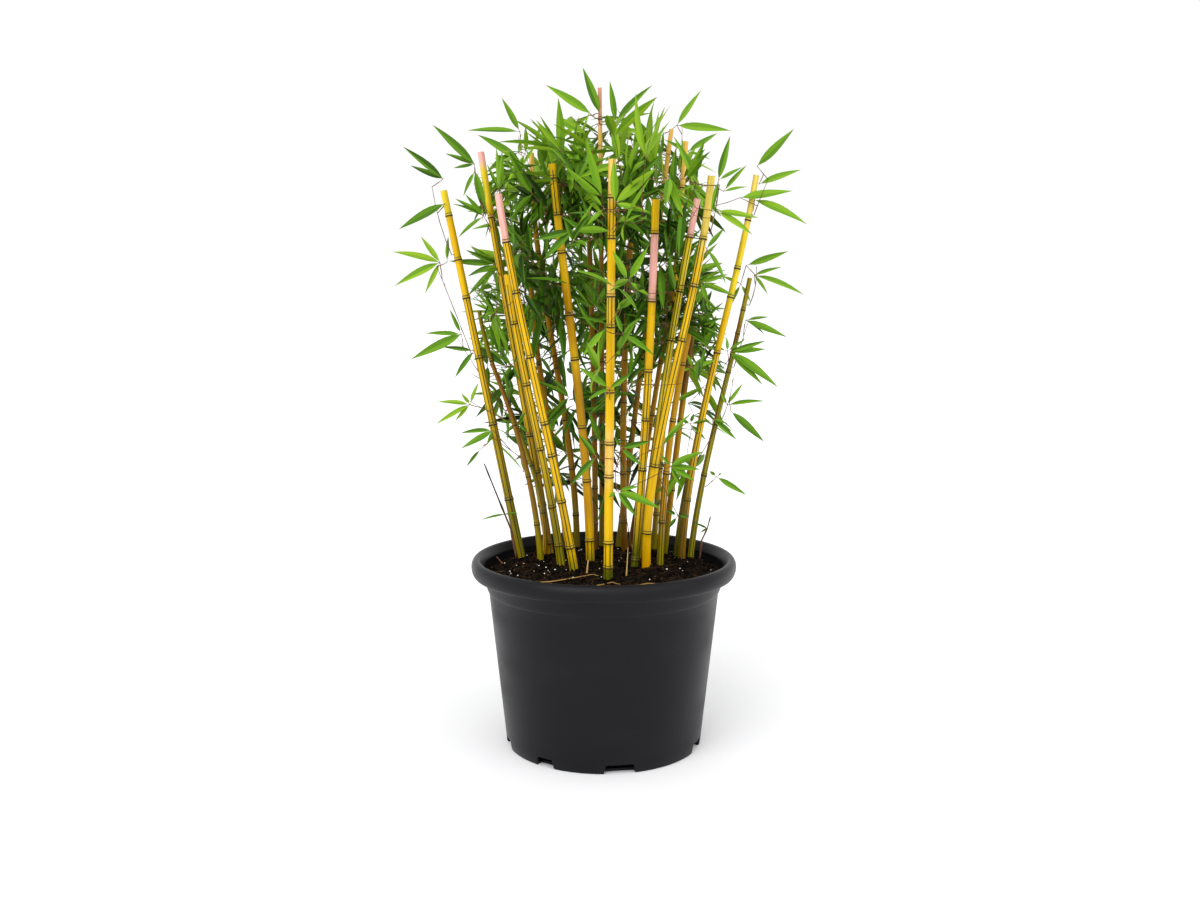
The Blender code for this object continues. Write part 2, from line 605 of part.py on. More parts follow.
class Growth:
    """The solids of one mass while it grows."""

    def __init__(self, name, item, space):
        self.name = name
        self.item = item
        self.space = space
        self.rng = random.Random("twigs of " + name)
        self.parts = []
        self.hubs = []
        self.leaf_axes = []

    def crowded(self, points, least):
        """True where points come near a leaf of this mass."""
        if not self.leaf_axes:
            return False
        starts = np.array([a for a, _ in self.leaf_axes], dtype=float)
        ends = np.array([b for _, b in self.leaf_axes], dtype=float)
        return segment_gap(np.array(points, dtype=float), starts, ends).min() < least

    def jitter(self, size):
        return Vector(self.rng.gauss(0, size) for _ in range(3))

    def leaf_corners(self, root, direction, length, normal):
        """The waist and tip of a leaf that keeps clear, or None."""
        for _ in range(6):
            tip = root + direction * length
            corners = leaf_points(root, tip, normal + self.jitter(0.15))
            probe = [root.lerp(tip, f) for f in (0.35, 0.6, 0.8, 1)]
            if (self.space.fits(leaf_samples(root, corners), self.name)
                    and not self.crowded(probe, LEAF_WIDTH * length * 0.45)):
                return corners
            direction = (direction + self.jitter(0.1)).normalized()
            length *= 0.9
        return None

    def try_spray(self, line, radii, normal, leaves):
        """A spray with those of its leaves that keep clear, and their axes."""
        spray = Spray(line, radii, normal, leaves)
        fresh = []
        for k, (direction, length) in enumerate(spray.leaves):
            ring, root = spray.leaf_ring(k)
            corners = self.leaf_corners(root, direction, length, spray.normal)
            spray.add_leaf(ring, corners)
            if corners:
                fresh.append((root.lerp(corners[-1], 0.3), corners[-1]))
        return spray, fresh

    def keep_spray(self, tries, fewest=0):
        """Keep the try with the most leaves, if it has enough."""
        spray, fresh = max(tries, key=lambda one: len(one[1]))
        self.hubs.append(spray.centre)
        if len(fresh) >= fewest:
            self.leaf_axes += fresh
            self.parts.append((spray.verts, spray.faces))

    def open_leaves(self, line, count=LEAVES_PER_SPRAY):
        """The normal and the leaves of a spray that opens up and out of the crown."""
        end = line[-1]
        away = Vector((end.x, end.y - CROWN_AXIS_Y, 0)).normalized()
        axis = (end - line[-2]).normalized() + away * 0.6 + Vector((0, 0, 0.2))
        axis = (axis + self.jitter(0.35)).normalized()
        side, up = frame_of(axis)
        roll = self.rng.uniform(-0.9, 0.9)
        flat = side * math.cos(roll) + up * math.sin(roll)
        lift = up * math.cos(roll) - side * math.sin(roll)
        leaves = []
        for k in range(count):
            angle = (k - (count - 1) / 2) * math.radians(SPRAY_OPENING / count)
            angle += self.rng.uniform(-0.12, 0.12)
            way = axis * math.cos(angle) + flat * math.sin(angle)
            way += lift * self.rng.uniform(-0.35, 0.3)
            leaves.append((way.normalized(), self.rng.uniform(*LEAF_LENGTH)))
        return lift, leaves

    def stated_leaves(self):
        """The end spray that a mass states: tips right and up of its leader's end."""
        leaves = []
        for dx, dz in self.item.tips:
            tip = Vector((dx, self.rng.uniform(-14, 14), dz))
            leaves.append((tip.normalized(), tip.length))
        return Vector((0, -1, 0.35)), leaves

    def leader(self, line):
        steps = len(line) - 1
        radii = [LEADER_R[0] + (LEADER_R[1] - LEADER_R[0]) * k / steps for k in range(steps + 1)]
        if self.item.tips:
            self.keep_spray([self.try_spray(line, radii, *self.stated_leaves())])
        else:
            self.open_spray(line, radii, 0)

    def open_spray(self, line, radii, fewest):
        tries = [self.try_spray(line, radii, *self.open_leaves(line))
                 for _ in range(SPRAY_TRIES)]
        self.keep_spray(tries, fewest)

    def candidate(self, leader):
        """A seeded way out from the leader into the mass's own space."""
        k = self.rng.randrange(1, len(leader) - 1)
        origin = leader[k].lerp(leader[k + 1], self.rng.random())
        way = self.jitter(1).normalized()
        return origin, origin + way * self.rng.uniform(*TWIG_REACH)

    def twig_line(self, leader):
        """The clear twig whose end lies furthest from the sprays there already."""
        best = None
        for _ in range(CANDIDATES):
            origin, end = self.candidate(leader)
            distance = min((end - hub).length for hub in self.hubs)
            if best and distance <= best[0]:
                continue
            line = [origin - (end - origin).normalized() * TWIG_SINK, end]
            fine = [origin.lerp(end, k / 8) for k in range(1, 9)]
            if (self.space.fits(fine, self.name, TWIG_R[0] + LIMB_CLEAR)
                    and self.space.fits([end], self.name, HUB_R + LIMB_CLEAR)
                    and self.space.own_margin(np.array([end]), self.name)[0] > HUB_MARGIN
                    and not self.crowded(fine, 3.0)):
                best = (distance, line)
        return best and best[1]

    def side_twigs(self, leader):
        for _ in range(self.item.twigs):
            line = self.twig_line(leader)
            if line:
                self.open_spray(line, TWIG_R, FEWEST_LEAVES)


def fuse(name, parts, mat):
    """One closed solid from overlapping ones, by a Boolean union on a collection."""
    group = bpy.data.collections.new(name + "_parts")
    pieces = []
    for k, (verts, faces) in enumerate(parts):
        piece = add_object(f"{name}_{k}", verts, faces, mat)
        face_out(piece.data)
        bpy.context.scene.collection.objects.unlink(piece)
        pieces.append(piece)
    base = pieces[0]
    bpy.context.scene.collection.objects.link(base)
    for piece in pieces[1:]:
        group.objects.link(piece)
    union = base.modifiers.new("union", "BOOLEAN")
    union.operation = "UNION"
    union.operand_type = "COLLECTION"
    union.collection = group
    union.solver = "MANIFOLD"
    graph = bpy.context.evaluated_depsgraph_get()
    mesh = bpy.data.meshes.new_from_object(base.evaluated_get(graph))
    for piece in pieces:
        bpy.data.objects.remove(piece)
    bpy.data.collections.remove(group)
    keep_largest(mesh)
    mesh.name = name
    mesh.materials.clear()
    mesh.materials.append(mat)
    obj = bpy.data.objects.new(name, mesh)
    bpy.context.scene.collection.objects.link(obj)
    return obj


def face_out(mesh):
    """Turn every face of a closed mesh outwards."""
    work = bmesh.new()
    work.from_mesh(mesh)
    bmesh.ops.triangulate(work, faces=work.faces[:])
    bmesh.ops.recalc_face_normals(work, faces=work.faces[:])
    work.to_mesh(mesh)
    work.free()


def keep_largest(mesh):
    """Drop any scrap that isn't joined to the largest body by its faces' edges."""
    work = bmesh.new()
    work.from_mesh(mesh)
    bmesh.ops.triangulate(work, faces=work.faces[:])
    bmesh.ops.dissolve_degenerate(work, dist=SLIVER * MM, edges=work.edges[:])
    left = set(work.faces)
    groups = []
    while left:
        stack = [left.pop()]
        group = list(stack)
        while stack:
            for edge in stack.pop().edges:
                if len(edge.link_faces) != 2:
                    continue
                for face in edge.link_faces:
                    if face in left:
                        left.discard(face)
                        stack.append(face)
                        group.append(face)
        groups.append(group)
    groups.sort(key=len)
    loose = [face for group in groups[:-1] for face in group]
    bmesh.ops.delete(work, geom=loose, context="FACES")
    work.to_mesh(mesh)
    work.free()


def make_masses():
    mat = plain_material("leaf_green", LEAF_GREEN, 0.5)
    space = Space()
    leaders = {}
    for name, item in MASSES.items():
        leaders[name] = grow_leader(item, space, random.Random("leader " + name))
    space.set_leaders(leaders)
    for name, item in MASSES.items():
        growth = Growth(name, item, space)
        growth.leader(leaders[name])
        growth.side_twigs(leaders[name])
        fuse(name, growth.parts, mat)


def main():
    for obj in list(bpy.data.objects):
        bpy.data.objects.remove(obj)
    make_pot()
    make_soil()
    make_canes()
    make_masses()


main()
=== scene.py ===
"""Potted bamboo: its looks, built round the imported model.

Lengths are written in millimetres in the model's frame and pass through MM.  The canes,
and the leader that each leaf mass grows along, follow the same rules and sizes as the
solids.  From the leaders the foliage is then carried on to finer twigs and leaves, each
mass within its own space: the points nearer to its own leader than to any other.
"""
import math
import random

import bpy
import numpy as np
from mathutils import Matrix, Vector, noise


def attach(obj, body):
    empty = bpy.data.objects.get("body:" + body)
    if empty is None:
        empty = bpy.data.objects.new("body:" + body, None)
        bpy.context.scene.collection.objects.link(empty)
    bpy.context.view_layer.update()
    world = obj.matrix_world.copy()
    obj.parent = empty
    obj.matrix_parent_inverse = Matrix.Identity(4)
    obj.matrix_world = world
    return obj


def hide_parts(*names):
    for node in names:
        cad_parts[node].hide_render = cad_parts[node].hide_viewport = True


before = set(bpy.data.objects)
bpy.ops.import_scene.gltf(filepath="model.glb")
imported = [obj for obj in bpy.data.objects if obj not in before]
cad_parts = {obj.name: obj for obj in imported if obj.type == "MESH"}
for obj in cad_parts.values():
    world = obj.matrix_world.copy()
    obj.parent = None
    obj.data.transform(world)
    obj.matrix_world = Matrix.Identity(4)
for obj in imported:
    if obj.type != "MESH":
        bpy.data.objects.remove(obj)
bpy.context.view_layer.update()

MM = 0.001
GAP = 0.3                                  # between pieces that meet
EYE = Vector((-4.7, -1474.0, 556.0))       # the camera
PITCH = math.radians(7.22)                 # it looks this far down
FOCAL = 1200.0                             # pixels, for a picture 1200 wide
CENTRE_PX = (600.0, 450.0)
LENS = 36.0
SENSOR = 36.0


# ------------------------------------------------------------------ materials

def srgb(red, green, blue):
    """Linear colour from 0 to 255 values."""
    def linear(c):
        c /= 255
        return c / 12.92 if c <= 0.04045 else ((c + 0.055) / 1.055) ** 2.4
    return (linear(red), linear(green), linear(blue), 1.0)


class Paint:
    """A Principled material and short ways to add nodes to it."""

    def __init__(self, name, colour, roughness, **sockets):
        self.mat = bpy.data.materials.new(name)
        self.mat.use_nodes = True
        self.tree = self.mat.node_tree
        self.shader = self.tree.nodes["Principled BSDF"]
        self.shader.inputs["Base Color"].default_value = colour
        self.shader.inputs["Roughness"].default_value = roughness
        self.mat.diffuse_color = colour
        for socket, value in sockets.items():
            self.shader.inputs[socket.replace("_", " ")].default_value = value
        self.coords = None

    def add(self, kind, links=(), values=(), **props):
        """A new node with its inputs linked or set."""
        node = self.tree.nodes.new(kind)
        for key, value in props.items():
            setattr(node, key, value)
        for key, value in values:
            node.inputs[key].default_value = value
        for key, socket in links:
            self.tree.links.new(socket, node.inputs[key])
        return node

    def place(self):
        """The piece's own coordinates."""
        if self.coords is None:
            self.coords = self.add("ShaderNodeTexCoord").outputs["Object"]
        return self.coords

    def noise(self, scale, detail=3.0, rough=0.55, low=0.35, high=0.65):
        """Noise along the piece, from 0 to 1, its contrast raised between low and high."""
        spread = self.add("ShaderNodeMapping", [("Vector", self.place())], [("Scale", scale)])
        node = self.add("ShaderNodeTexNoise", [("Vector", spread.outputs["Vector"])],
                        [("Scale", 1.0), ("Detail", detail), ("Roughness", rough)])
        return self.ramp(node.outputs["Fac"], low, high)

    def ramp(self, socket, low, high):
        """0 below low, 1 above high, and eased between."""
        node = self.add("ShaderNodeMapRange", [("Value", socket)],
                        [("From Min", low), ("From Max", high)])
        node.interpolation_type = "SMOOTHSTEP"
        return node.outputs["Result"]

    def height(self, low, high):
        """0 below one height and 1 above another, in millimetres."""
        split = self.add("ShaderNodeSeparateXYZ", [("Vector", self.place())])
        return self.ramp(split.outputs["Z"], low * MM, high * MM)

    def times(self, socket, factor):
        """A value times a factor."""
        node = self.add("ShaderNodeMath", [(0, socket)], [(1, factor)], operation="MULTIPLY")
        return node.outputs[0]

    def blend(self, factor, first, second, stains=False):
        """Mix two colours, each a socket or a colour; the second may only stain the first."""
        node = self.tree.nodes.new("ShaderNodeMix")
        node.data_type = "RGBA"
        node.blend_type = "MULTIPLY" if stains else "MIX"
        for index, item in ((0, factor), (6, first), (7, second)):
            if isinstance(item, bpy.types.NodeSocket):
                self.tree.links.new(item, node.inputs[index])
            else:
                node.inputs[index].default_value = item
        return node.outputs[2]

    def colour(self, socket):
        """Let a socket give the base colour."""
        self.tree.links.new(socket, self.shader.inputs["Base Color"])

    def rough(self, socket, low, high):
        """Let a socket that runs from 0 to 1 give the roughness between two values."""
        node = self.add("ShaderNodeMapRange", [("Value", socket)],
                        [("To Min", low), ("To Max", high)])
        self.tree.links.new(node.outputs["Result"], self.shader.inputs["Roughness"])

    def bump(self, socket, strength, depth):
        """Fine relief, its depth in millimetres."""
        node = self.add("ShaderNodeBump", [("Height", socket)],
                        [("Strength", strength), ("Distance", depth * MM)])
        self.tree.links.new(node.outputs["Normal"], self.shader.inputs["Normal"])


def cane_paint():
    """Waxy cane skin: the points' own tints, with painted shade on the canes' inner sides, under
    long streaks and soft patches.
    """
    paint = Paint("cane_skin", (0.6, 0.4, 0.02, 1), 0.34, Specular_IOR_Level=0.14,
                  Coat_Weight=0.05, Coat_Roughness=0.2)
    tint_and_painted_shade = paint.add("ShaderNodeAttribute", attribute_name="tint_and_painted_shade")
    streaks = paint.noise((330, 330, 6), detail=4.0, low=0.40, high=0.72)
    patches = paint.noise((60, 60, 14), detail=3.0, low=0.42, high=0.72)
    specks = paint.noise((700, 700, 260), detail=2.0, low=0.68, high=0.76)
    skin = tint_and_painted_shade.outputs["Color"]
    skin = paint.blend(paint.times(streaks, 0.6), skin, srgb(206, 190, 150), True)
    skin = paint.blend(paint.times(patches, 0.5), skin, srgb(226, 206, 150), True)
    skin = paint.blend(paint.times(specks, 0.6), skin, srgb(110, 84, 40), True)
    paint.colour(skin)
    paint.rough(patches, 0.30, 0.46)
    fibres = paint.noise((900, 900, 16), detail=2.0, low=0.2, high=0.8)
    paint.bump(fibres, 0.25, 0.08)
    return paint.mat


def cane_detail_paints():
    """Green lines, node rings, cut ends and the straw of the two spikes in the compost."""
    line = Paint("cane_line", srgb(46, 56, 8), 0.45, Specular_IOR_Level=0.3)
    line.colour(line.blend(line.noise((200, 200, 14)), srgb(30, 40, 6), srgb(72, 78, 10)))
    ring = Paint("node_ring", srgb(40, 32, 12), 0.6, Specular_IOR_Level=0.3)
    ring.colour(ring.blend(ring.noise((400, 400, 400)), srgb(26, 20, 8), srgb(70, 56, 16)))
    ring.bump(ring.noise((700, 700, 300)), 0.4, 0.2)
    cut = Paint("cut_end", srgb(96, 70, 48), 0.85)
    cut.colour(cut.blend(cut.noise((500, 500, 500)), srgb(52, 34, 24), srgb(150, 112, 84)))
    cut.bump(cut.noise((900, 900, 900)), 0.6, 0.4)
    spike = Paint("stub_straw", srgb(206, 180, 110), 0.6, Specular_IOR_Level=0.3)
    stripes = spike.noise((600, 600, 60), low=0.4, high=0.7)
    spike.colour(spike.blend(stripes, srgb(206, 178, 104), srgb(150, 108, 70)))
    return {"line": line.mat, "ring": ring.mat, "cut": cut.mat, "spike": spike.mat}


# from fresh to deep; the deeper greens also stand for painted shade inside the clump
LEAF_GREENS = ((130, 165, 34), (114, 154, 30), (98, 141, 26), (82, 124, 22), (66, 105, 16),
               (51, 84, 9), (37, 64, 5), (25, 46, 3))
DEEPEST = len(LEAF_GREENS) - 1


def foliage_paints():
    """Plain colours of twigs, sheaths and leaves; a leaf's number is its tone."""
    made = {"twig": Paint("twig_bark", srgb(98, 66, 42), 0.7, Specular_IOR_Level=0.15).mat,
            "sheath": Paint("sheath_straw", srgb(150, 116, 72), 0.7, Specular_IOR_Level=0.2).mat,
            "tip": Paint("leaf_tip_dry", srgb(128, 112, 78), 0.7).mat}
    for k, colour in enumerate(LEAF_GREENS):
        green = Paint(f"leaf_green_{k}", srgb(*colour), 0.5, Specular_IOR_Level=0.1)
        made[f"leaf_{k}"] = green.mat
    return made


def shoot_paint():
    """Reddish sheaths that darken towards the tip."""
    paint = Paint("shoot_sheath", srgb(84, 54, 36), 0.6, Specular_IOR_Level=0.3)
    stripes = paint.noise((500, 500, 30), low=0.4, high=0.7)
    sheaths = paint.blend(stripes, srgb(118, 76, 56), srgb(60, 36, 26))
    paint.colour(paint.blend(paint.height(250, 300), sheaths, srgb(44, 32, 18)))
    paint.bump(stripes, 0.4, 0.2)
    return paint.mat


def pot_paint():
    """Satin moulded plastic with fine grain and a few dusty smears."""
    paint = Paint("pot_plastic", srgb(18, 18, 22), 0.40, Specular_IOR_Level=0.16)
    dust = paint.noise((7, 7, 16), detail=5.0, low=0.45, high=0.75)
    paint.colour(paint.blend(paint.times(dust, 0.35), srgb(14, 14, 18), srgb(28, 28, 31)))
    paint.rough(dust, 0.36, 0.50)
    grain = paint.noise((1500, 1500, 1500), detail=1.0, low=0.2, high=0.8)
    paint.bump(grain, 0.12, 0.05)
    return paint.mat


def soil_paints():
    """The compost's bed, and the crumbs, fibres, grains and roots that lie in it."""
    bed = Paint("compost_bed", srgb(16, 12, 8), 0.95, Specular_IOR_Level=0.05)
    clods = bed.noise((260, 260, 260), detail=6.0, rough=0.7, low=0.3, high=0.75)
    bed.colour(bed.blend(clods, srgb(4, 2, 1), srgb(36, 27, 17)))
    bed.bump(clods, 0.9, 1.2)
    made = {"bed": bed.mat}
    for name, colour in (("crumb_dark", (7, 4, 2)), ("crumb_brown", (30, 22, 14)),
                         ("crumb_bark", (60, 44, 28)), ("fibre", (70, 48, 28)),
                         ("perlite", (226, 224, 216)), ("root", (168, 130, 74))):
        made[name] = Paint(name, srgb(*colour), 0.9, Specular_IOR_Level=0.05).mat
    return made


def make_materials():
    """All materials, by the names of the slots that take them."""
    made = {"skin": cane_paint(), "shoot": shoot_paint(), "pot": pot_paint()}
    return made | cane_detail_paints() | foliage_paints() | soil_paints()


# ---------------------------------------------------------------- mesh making

class Shape:
    """Points, faces and material slots of one piece, gathered in millimetres."""

    def __init__(self, *slots):
        self.slots = list(slots)
        self.verts = []
        self.faces = []
        self.slot_of = []

    def face(self, corners, slot):
        """One face in a named material slot."""
        self.faces.append(corners)
        self.slot_of.append(self.slots.index(slot))

    def band(self, below, above, slots):
        """A ring of faces between two rings of points, with a slot for each face."""
        count = len(slots)
        for i, slot in enumerate(slots):
            j = (i + 1) % count
            self.face((below + i, below + j, above + j, above + i), slot)

    def tube(self, points, radii, sides, slot):
        """A closed round tube along points."""
        first = len(self.verts)
        count = len(points)
        side = None
        for k, point in enumerate(points):
            ahead = (points[min(k + 1, count - 1)] - points[max(k - 1, 0)]).normalized()
            if side is None:
                side = frame_of(ahead)[0]
            side = (side - ahead * side.dot(ahead)).normalized()
            up = side.cross(ahead)
            for i in range(sides):
                a = 2 * math.pi * i / sides
                self.verts.append(point + (side * math.cos(a) - up * math.sin(a)) * radii[k])
        self.face(tuple(first + i for i in reversed(range(sides))), slot)
        last = first + (count - 1) * sides
        for below in range(first, last, sides):
            self.band(below, below + sides, [slot] * sides)
        self.face(tuple(last + i for i in range(sides)), slot)

    def build(self, name, materials, body_slot, replaced=(), smooth=True, sharp=None,
              place=None, tints=()):
        """Make the piece, ride it on the plant and hide the solids that it stands in for.

        sharp is the angle over which its edges stay sharp, place is the piece's own frame, which its
        patterns run along, and tints are the colours of its points, painted shade on the canes'
        inner sides included."""
        place = place or Matrix()
        back = place.inverted()
        mesh = bpy.data.meshes.new(name)
        mesh.from_pydata([back @ (v * MM) for v in self.verts], [], self.faces)
        for slot in self.slots:
            mesh.materials.append(materials[slot])
        mesh.polygons.foreach_set("material_index", self.slot_of)
        if tints:
            layer = mesh.color_attributes.new("tint_and_painted_shade", "FLOAT_COLOR", "POINT")
            layer.data.foreach_set("color", [c for tint_and_painted_shade in tints for c in (*tint_and_painted_shade, 1.0)])
        if smooth:
            mesh.shade_smooth()
        if sharp:
            mesh.set_sharp_from_angle(angle=math.radians(sharp))
        obj = bpy.data.objects.new(name, mesh)
        obj.matrix_world = place
        bpy.context.scene.collection.objects.link(obj)
        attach(obj, "root")
        if replaced:
            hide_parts(*replaced)
        return obj


def finer(line, steps):
    """Points along a line, a number of steps to each stretch, without its last point."""
    return [a.lerp(b, k / steps) for a, b in zip(line[:-1], line[1:]) for k in range(steps)]


def frame_of(direction):
    """Two unit vectors square to a direction."""
    direction = direction.normalized()
    side = direction.cross(Vector((0, 0, 1)))
    if side.length < 0.05:
        side = Vector((1, 0, 0)) - direction * direction.x
    side.normalize()
    return side, side.cross(direction).normalized()


# ----------------------------------------------------------------------- pot

# The same sizes as the solid pot's, with more sides.
POT_SIDES = 160
BASE_R = 122.6                 # outside, at the underside
BODY_TOP_R = 143.5             # outside, under the collar
BODY_TOP_Z = 195.0
COLLAR_LOW_R = 145.3
COLLAR_LOW_Z = 197.0
COLLAR_TOP_R = 151.0
COLLAR_TOP_Z = 213.0
RIM_R = 165.0                  # widest part of the rolled rim
RIM_Z = 226.0
RIM_TOP_Z = 236.0
RIM_INNER_R = 150.0
WALL = 2.6
FLOOR = 3.0
NOTCH_ANGLES = (8.7, -35, -75, -115, -160, 160, 115, 69)    # degrees round from the front
NOTCH_WIDTHS = (36, 24, 30, 30, 30, 30, 30, 30)
NOTCH_HEIGHT = 11.5
NOTCH_DEPTH = 11.0


def wall_radius(z):
    """Outer radius of the tapered wall at a height."""
    return BASE_R + (BODY_TOP_R - BASE_R) * z / BODY_TOP_Z


def rim_roll(steps=26):
    """The rolled rim from the collar's top, over and down to its inner edge."""
    centre_r = (RIM_R + RIM_INNER_R) / 2 + 1.0
    half_w = RIM_R - centre_r
    points = []
    for k in range(steps):
        a = math.radians(-62 + 200 * k / (steps - 1))
        low = min(math.sin(a), 0) * (RIM_Z - COLLAR_TOP_Z - 1.0)
        high = max(math.sin(a), 0) * (RIM_TOP_Z - RIM_Z)
        points.append((centre_r + half_w * math.cos(a), RIM_Z + low + high))
    return points


def lathe(shape, profile, sides, slot):
    """Turn (radius, height) points about Z; the first and last lie on the axis."""
    first = len(shape.verts)
    shape.verts.append(Vector((0, 0, profile[0][1])))
    for radius, z in profile[1:-1]:
        for i in range(sides):
            a = 2 * math.pi * i / sides
            shape.verts.append(Vector((radius * math.sin(a), -radius * math.cos(a), z)))
    shape.verts.append(Vector((0, 0, profile[-1][1])))
    last = len(shape.verts) - 1
    top = last - sides
    for i in range(sides):
        j = (i + 1) % sides
        shape.face((first, first + 1 + j, first + 1 + i), slot)
        shape.face((top + i, top + j, last), slot)
    for below in range(first + 1, top, sides):
        shape.band(below, below + sides, [slot] * sides)


def make_pot(materials):
    """The nursery pot: a turned wall and rim with rounded edges, its foot notched."""
    outer = [(BASE_R - 1.8, 0.0), (BASE_R - 0.7, 0.4), (wall_radius(1.8), 1.8)]
    outer += [(wall_radius(z), z) for z in (14, 60, 120, 180)]
    outer += [(BODY_TOP_R - 0.1, BODY_TOP_Z - 0.6), (BODY_TOP_R + 0.3, BODY_TOP_Z),
              (COLLAR_LOW_R - 0.5, COLLAR_LOW_Z - 0.5), (COLLAR_LOW_R, COLLAR_LOW_Z + 0.6),
              (COLLAR_LOW_R + 1.6, 202), (COLLAR_TOP_R - 1.8, 210),
              (COLLAR_TOP_R - 0.4, COLLAR_TOP_Z - 0.6)]
    inner = [(RIM_INNER_R - 1.0, RIM_Z + 1), (RIM_INNER_R - 1.2, RIM_Z - 2),
             (COLLAR_TOP_R - WALL, COLLAR_TOP_Z),
             (BODY_TOP_R - WALL, BODY_TOP_Z), (wall_radius(FLOOR) - WALL, FLOOR)]
    profile = [(0.0, 0.0)] + outer + rim_roll() + inner + [(0.0, FLOOR)]
    shape = Shape("pot")
    lathe(shape, profile, POT_SIDES, "pot")
    pot = shape.build("nursery_pot", materials, "pot_plastic", ("pot",))
    cutter = notch_cutter()
    cut = pot.modifiers.new("drain notches", "BOOLEAN")
    cut.operation = "DIFFERENCE"
    cut.solver = "EXACT"
    cut.object = cutter
    graph = bpy.context.evaluated_depsgraph_get()
    mesh = bpy.data.meshes.new_from_object(pot.evaluated_get(graph))
    pot.modifiers.clear()
    pot.data = mesh
    mesh.shade_smooth()
    mesh.set_sharp_from_angle(angle=math.radians(38))
    bpy.data.objects.remove(cutter)


def notch_cutter():
    """Blocks that cut the drainage notches out of the pot's bottom edge."""
    shape = Shape("pot")
    for degrees, width in zip(NOTCH_ANGLES, NOTCH_WIDTHS):
        a = math.radians(degrees)
        out = Vector((math.sin(a), -math.cos(a), 0.0))
        side = Vector((math.cos(a), math.sin(a), 0.0))
        first = len(shape.verts)
        for z, half in ((-2.0, width / 2 + 1.5), (NOTCH_HEIGHT, width / 2 - 1.5)):
            for radius, sign in ((BASE_R - NOTCH_DEPTH, -1), (BASE_R + 8, -1),
                                 (BASE_R + 8, 1), (BASE_R - NOTCH_DEPTH, 1)):
                point = out * radius + side * (half * sign)
                shape.verts.append(Vector((point.x, point.y, z)))
        for face in ((3, 2, 1, 0), (4, 5, 6, 7), (0, 1, 5, 4), (1, 2, 6, 5),
                     (2, 3, 7, 6), (3, 0, 4, 7)):
            shape.face(tuple(first + i for i in face), "pot")
    mesh = bpy.data.meshes.new("notch_cutter")
    mesh.from_pydata([tuple(c * MM for c in v) for v in shape.verts], [], shape.faces)
    cutter = bpy.data.objects.new("notch_cutter", mesh)
    bpy.context.scene.collection.objects.link(cutter)
    return cutter


# ---------------------------------------------------------------------- soil

SOIL_R = 147.4
SOIL_WALL_Z = 217.5            # where it meets the pot's wall
SOIL_MOUND = 7.0               # how much higher it is in the middle
SOIL_RINGS = 74
SOIL_SIDES = 190
SOIL_BED = 200.0               # the hidden underside of the piece
# hummocks, clods and crumbs: (height, width, layer of the noise)
SOIL_ROUGHNESS = ((3.4, 26, 3), (2.2, 9, 9), (1.5, 3.6, 17))
CRUMBS = 2600
PERLITE_GRAINS = 96
FIBRES = 260


def soil_height(x, y):
    """Rough compost: a low mound that drops a little at the wall."""
    r = math.hypot(x, y) / SOIL_R
    z = SOIL_WALL_Z + SOIL_MOUND * (1 - r ** 2.2)
    for height, width, layer in SOIL_ROUGHNESS:
        z += height * noise.noise(Vector((x, y, layer)) / width)
    return z - 1.2 * max(0.0, (r - 0.93) / 0.07)


def make_soil(materials):
    """The compost's surface with a skirt and an underside, and what lies on it."""
    shape = Shape("bed")
    shape.verts.append(Vector((0, 0, soil_height(0, 0))))
    for k in range(1, SOIL_RINGS + 1):
        radius = SOIL_R * k / SOIL_RINGS
        for i in range(SOIL_SIDES):
            a = 2 * math.pi * (i + 0.5 * (k % 2)) / SOIL_SIDES
            x, y = radius * math.cos(a), radius * math.sin(a)
            shape.verts.append(Vector((x, y, soil_height(x, y))))
    for i in range(SOIL_SIDES):
        j = (i + 1) % SOIL_SIDES
        shape.face((0, 1 + i, 1 + j), "bed")
        for k in range(SOIL_RINGS - 1):
            a = 1 + k * SOIL_SIDES
            shape.face((a + i, a + SOIL_SIDES + i, a + SOIL_SIDES + j, a + j), "bed")
    rim = 1 + (SOIL_RINGS - 1) * SOIL_SIDES
    low = len(shape.verts)
    for i in range(SOIL_SIDES):
        top = shape.verts[rim + i]
        shape.verts.append(Vector((top.x * 0.94, top.y * 0.94, SOIL_BED)))
    for i in range(SOIL_SIDES):
        j = (i + 1) % SOIL_SIDES
        shape.face((rim + i, low + i, low + j, rim + j), "bed")
    shape.face(tuple(low + i for i in reversed(range(SOIL_SIDES))), "bed")
    shape.build("compost_bed", materials, "compost", ("soil",))
    make_crumbs(materials)
    make_strands(materials)


def lump(shape, centre, size, slot, rng):
    """A rough lump: two rings of five points between two tips."""
    first = len(shape.verts)
    spin = rng.uniform(0, 6.3)
    tall = rng.uniform(0.5, 0.9)
    shape.verts.append(centre + Vector((0, 0, size * tall)))
    for z, wide in ((0.35, 0.8), (-0.35, 0.95)):
        for i in range(5):
            a = spin + 2 * math.pi * i / 5 + z
            r = size * wide * rng.uniform(0.7, 1.1)
            spot = Vector((r * math.cos(a), r * math.sin(a), size * z * tall))
            shape.verts.append(centre + spot)
    shape.verts.append(centre - Vector((0, 0, size * tall)))
    for i in range(5):
        j = (i + 1) % 5
        shape.face((first, first + 1 + i, first + 1 + j), slot)
        shape.face((first + 1 + i, first + 6 + i, first + 6 + j, first + 1 + j), slot)
        shape.face((first + 6 + i, first + 11, first + 6 + j), slot)


def on_soil(rng, limit=0.97):
    """A place on the compost, up to a share of its radius."""
    radius = SOIL_R * limit * math.sqrt(rng.random())
    a = rng.uniform(0, 2 * math.pi)
    x, y = radius * math.cos(a), radius * math.sin(a)
    return Vector((x, y, soil_height(x, y)))


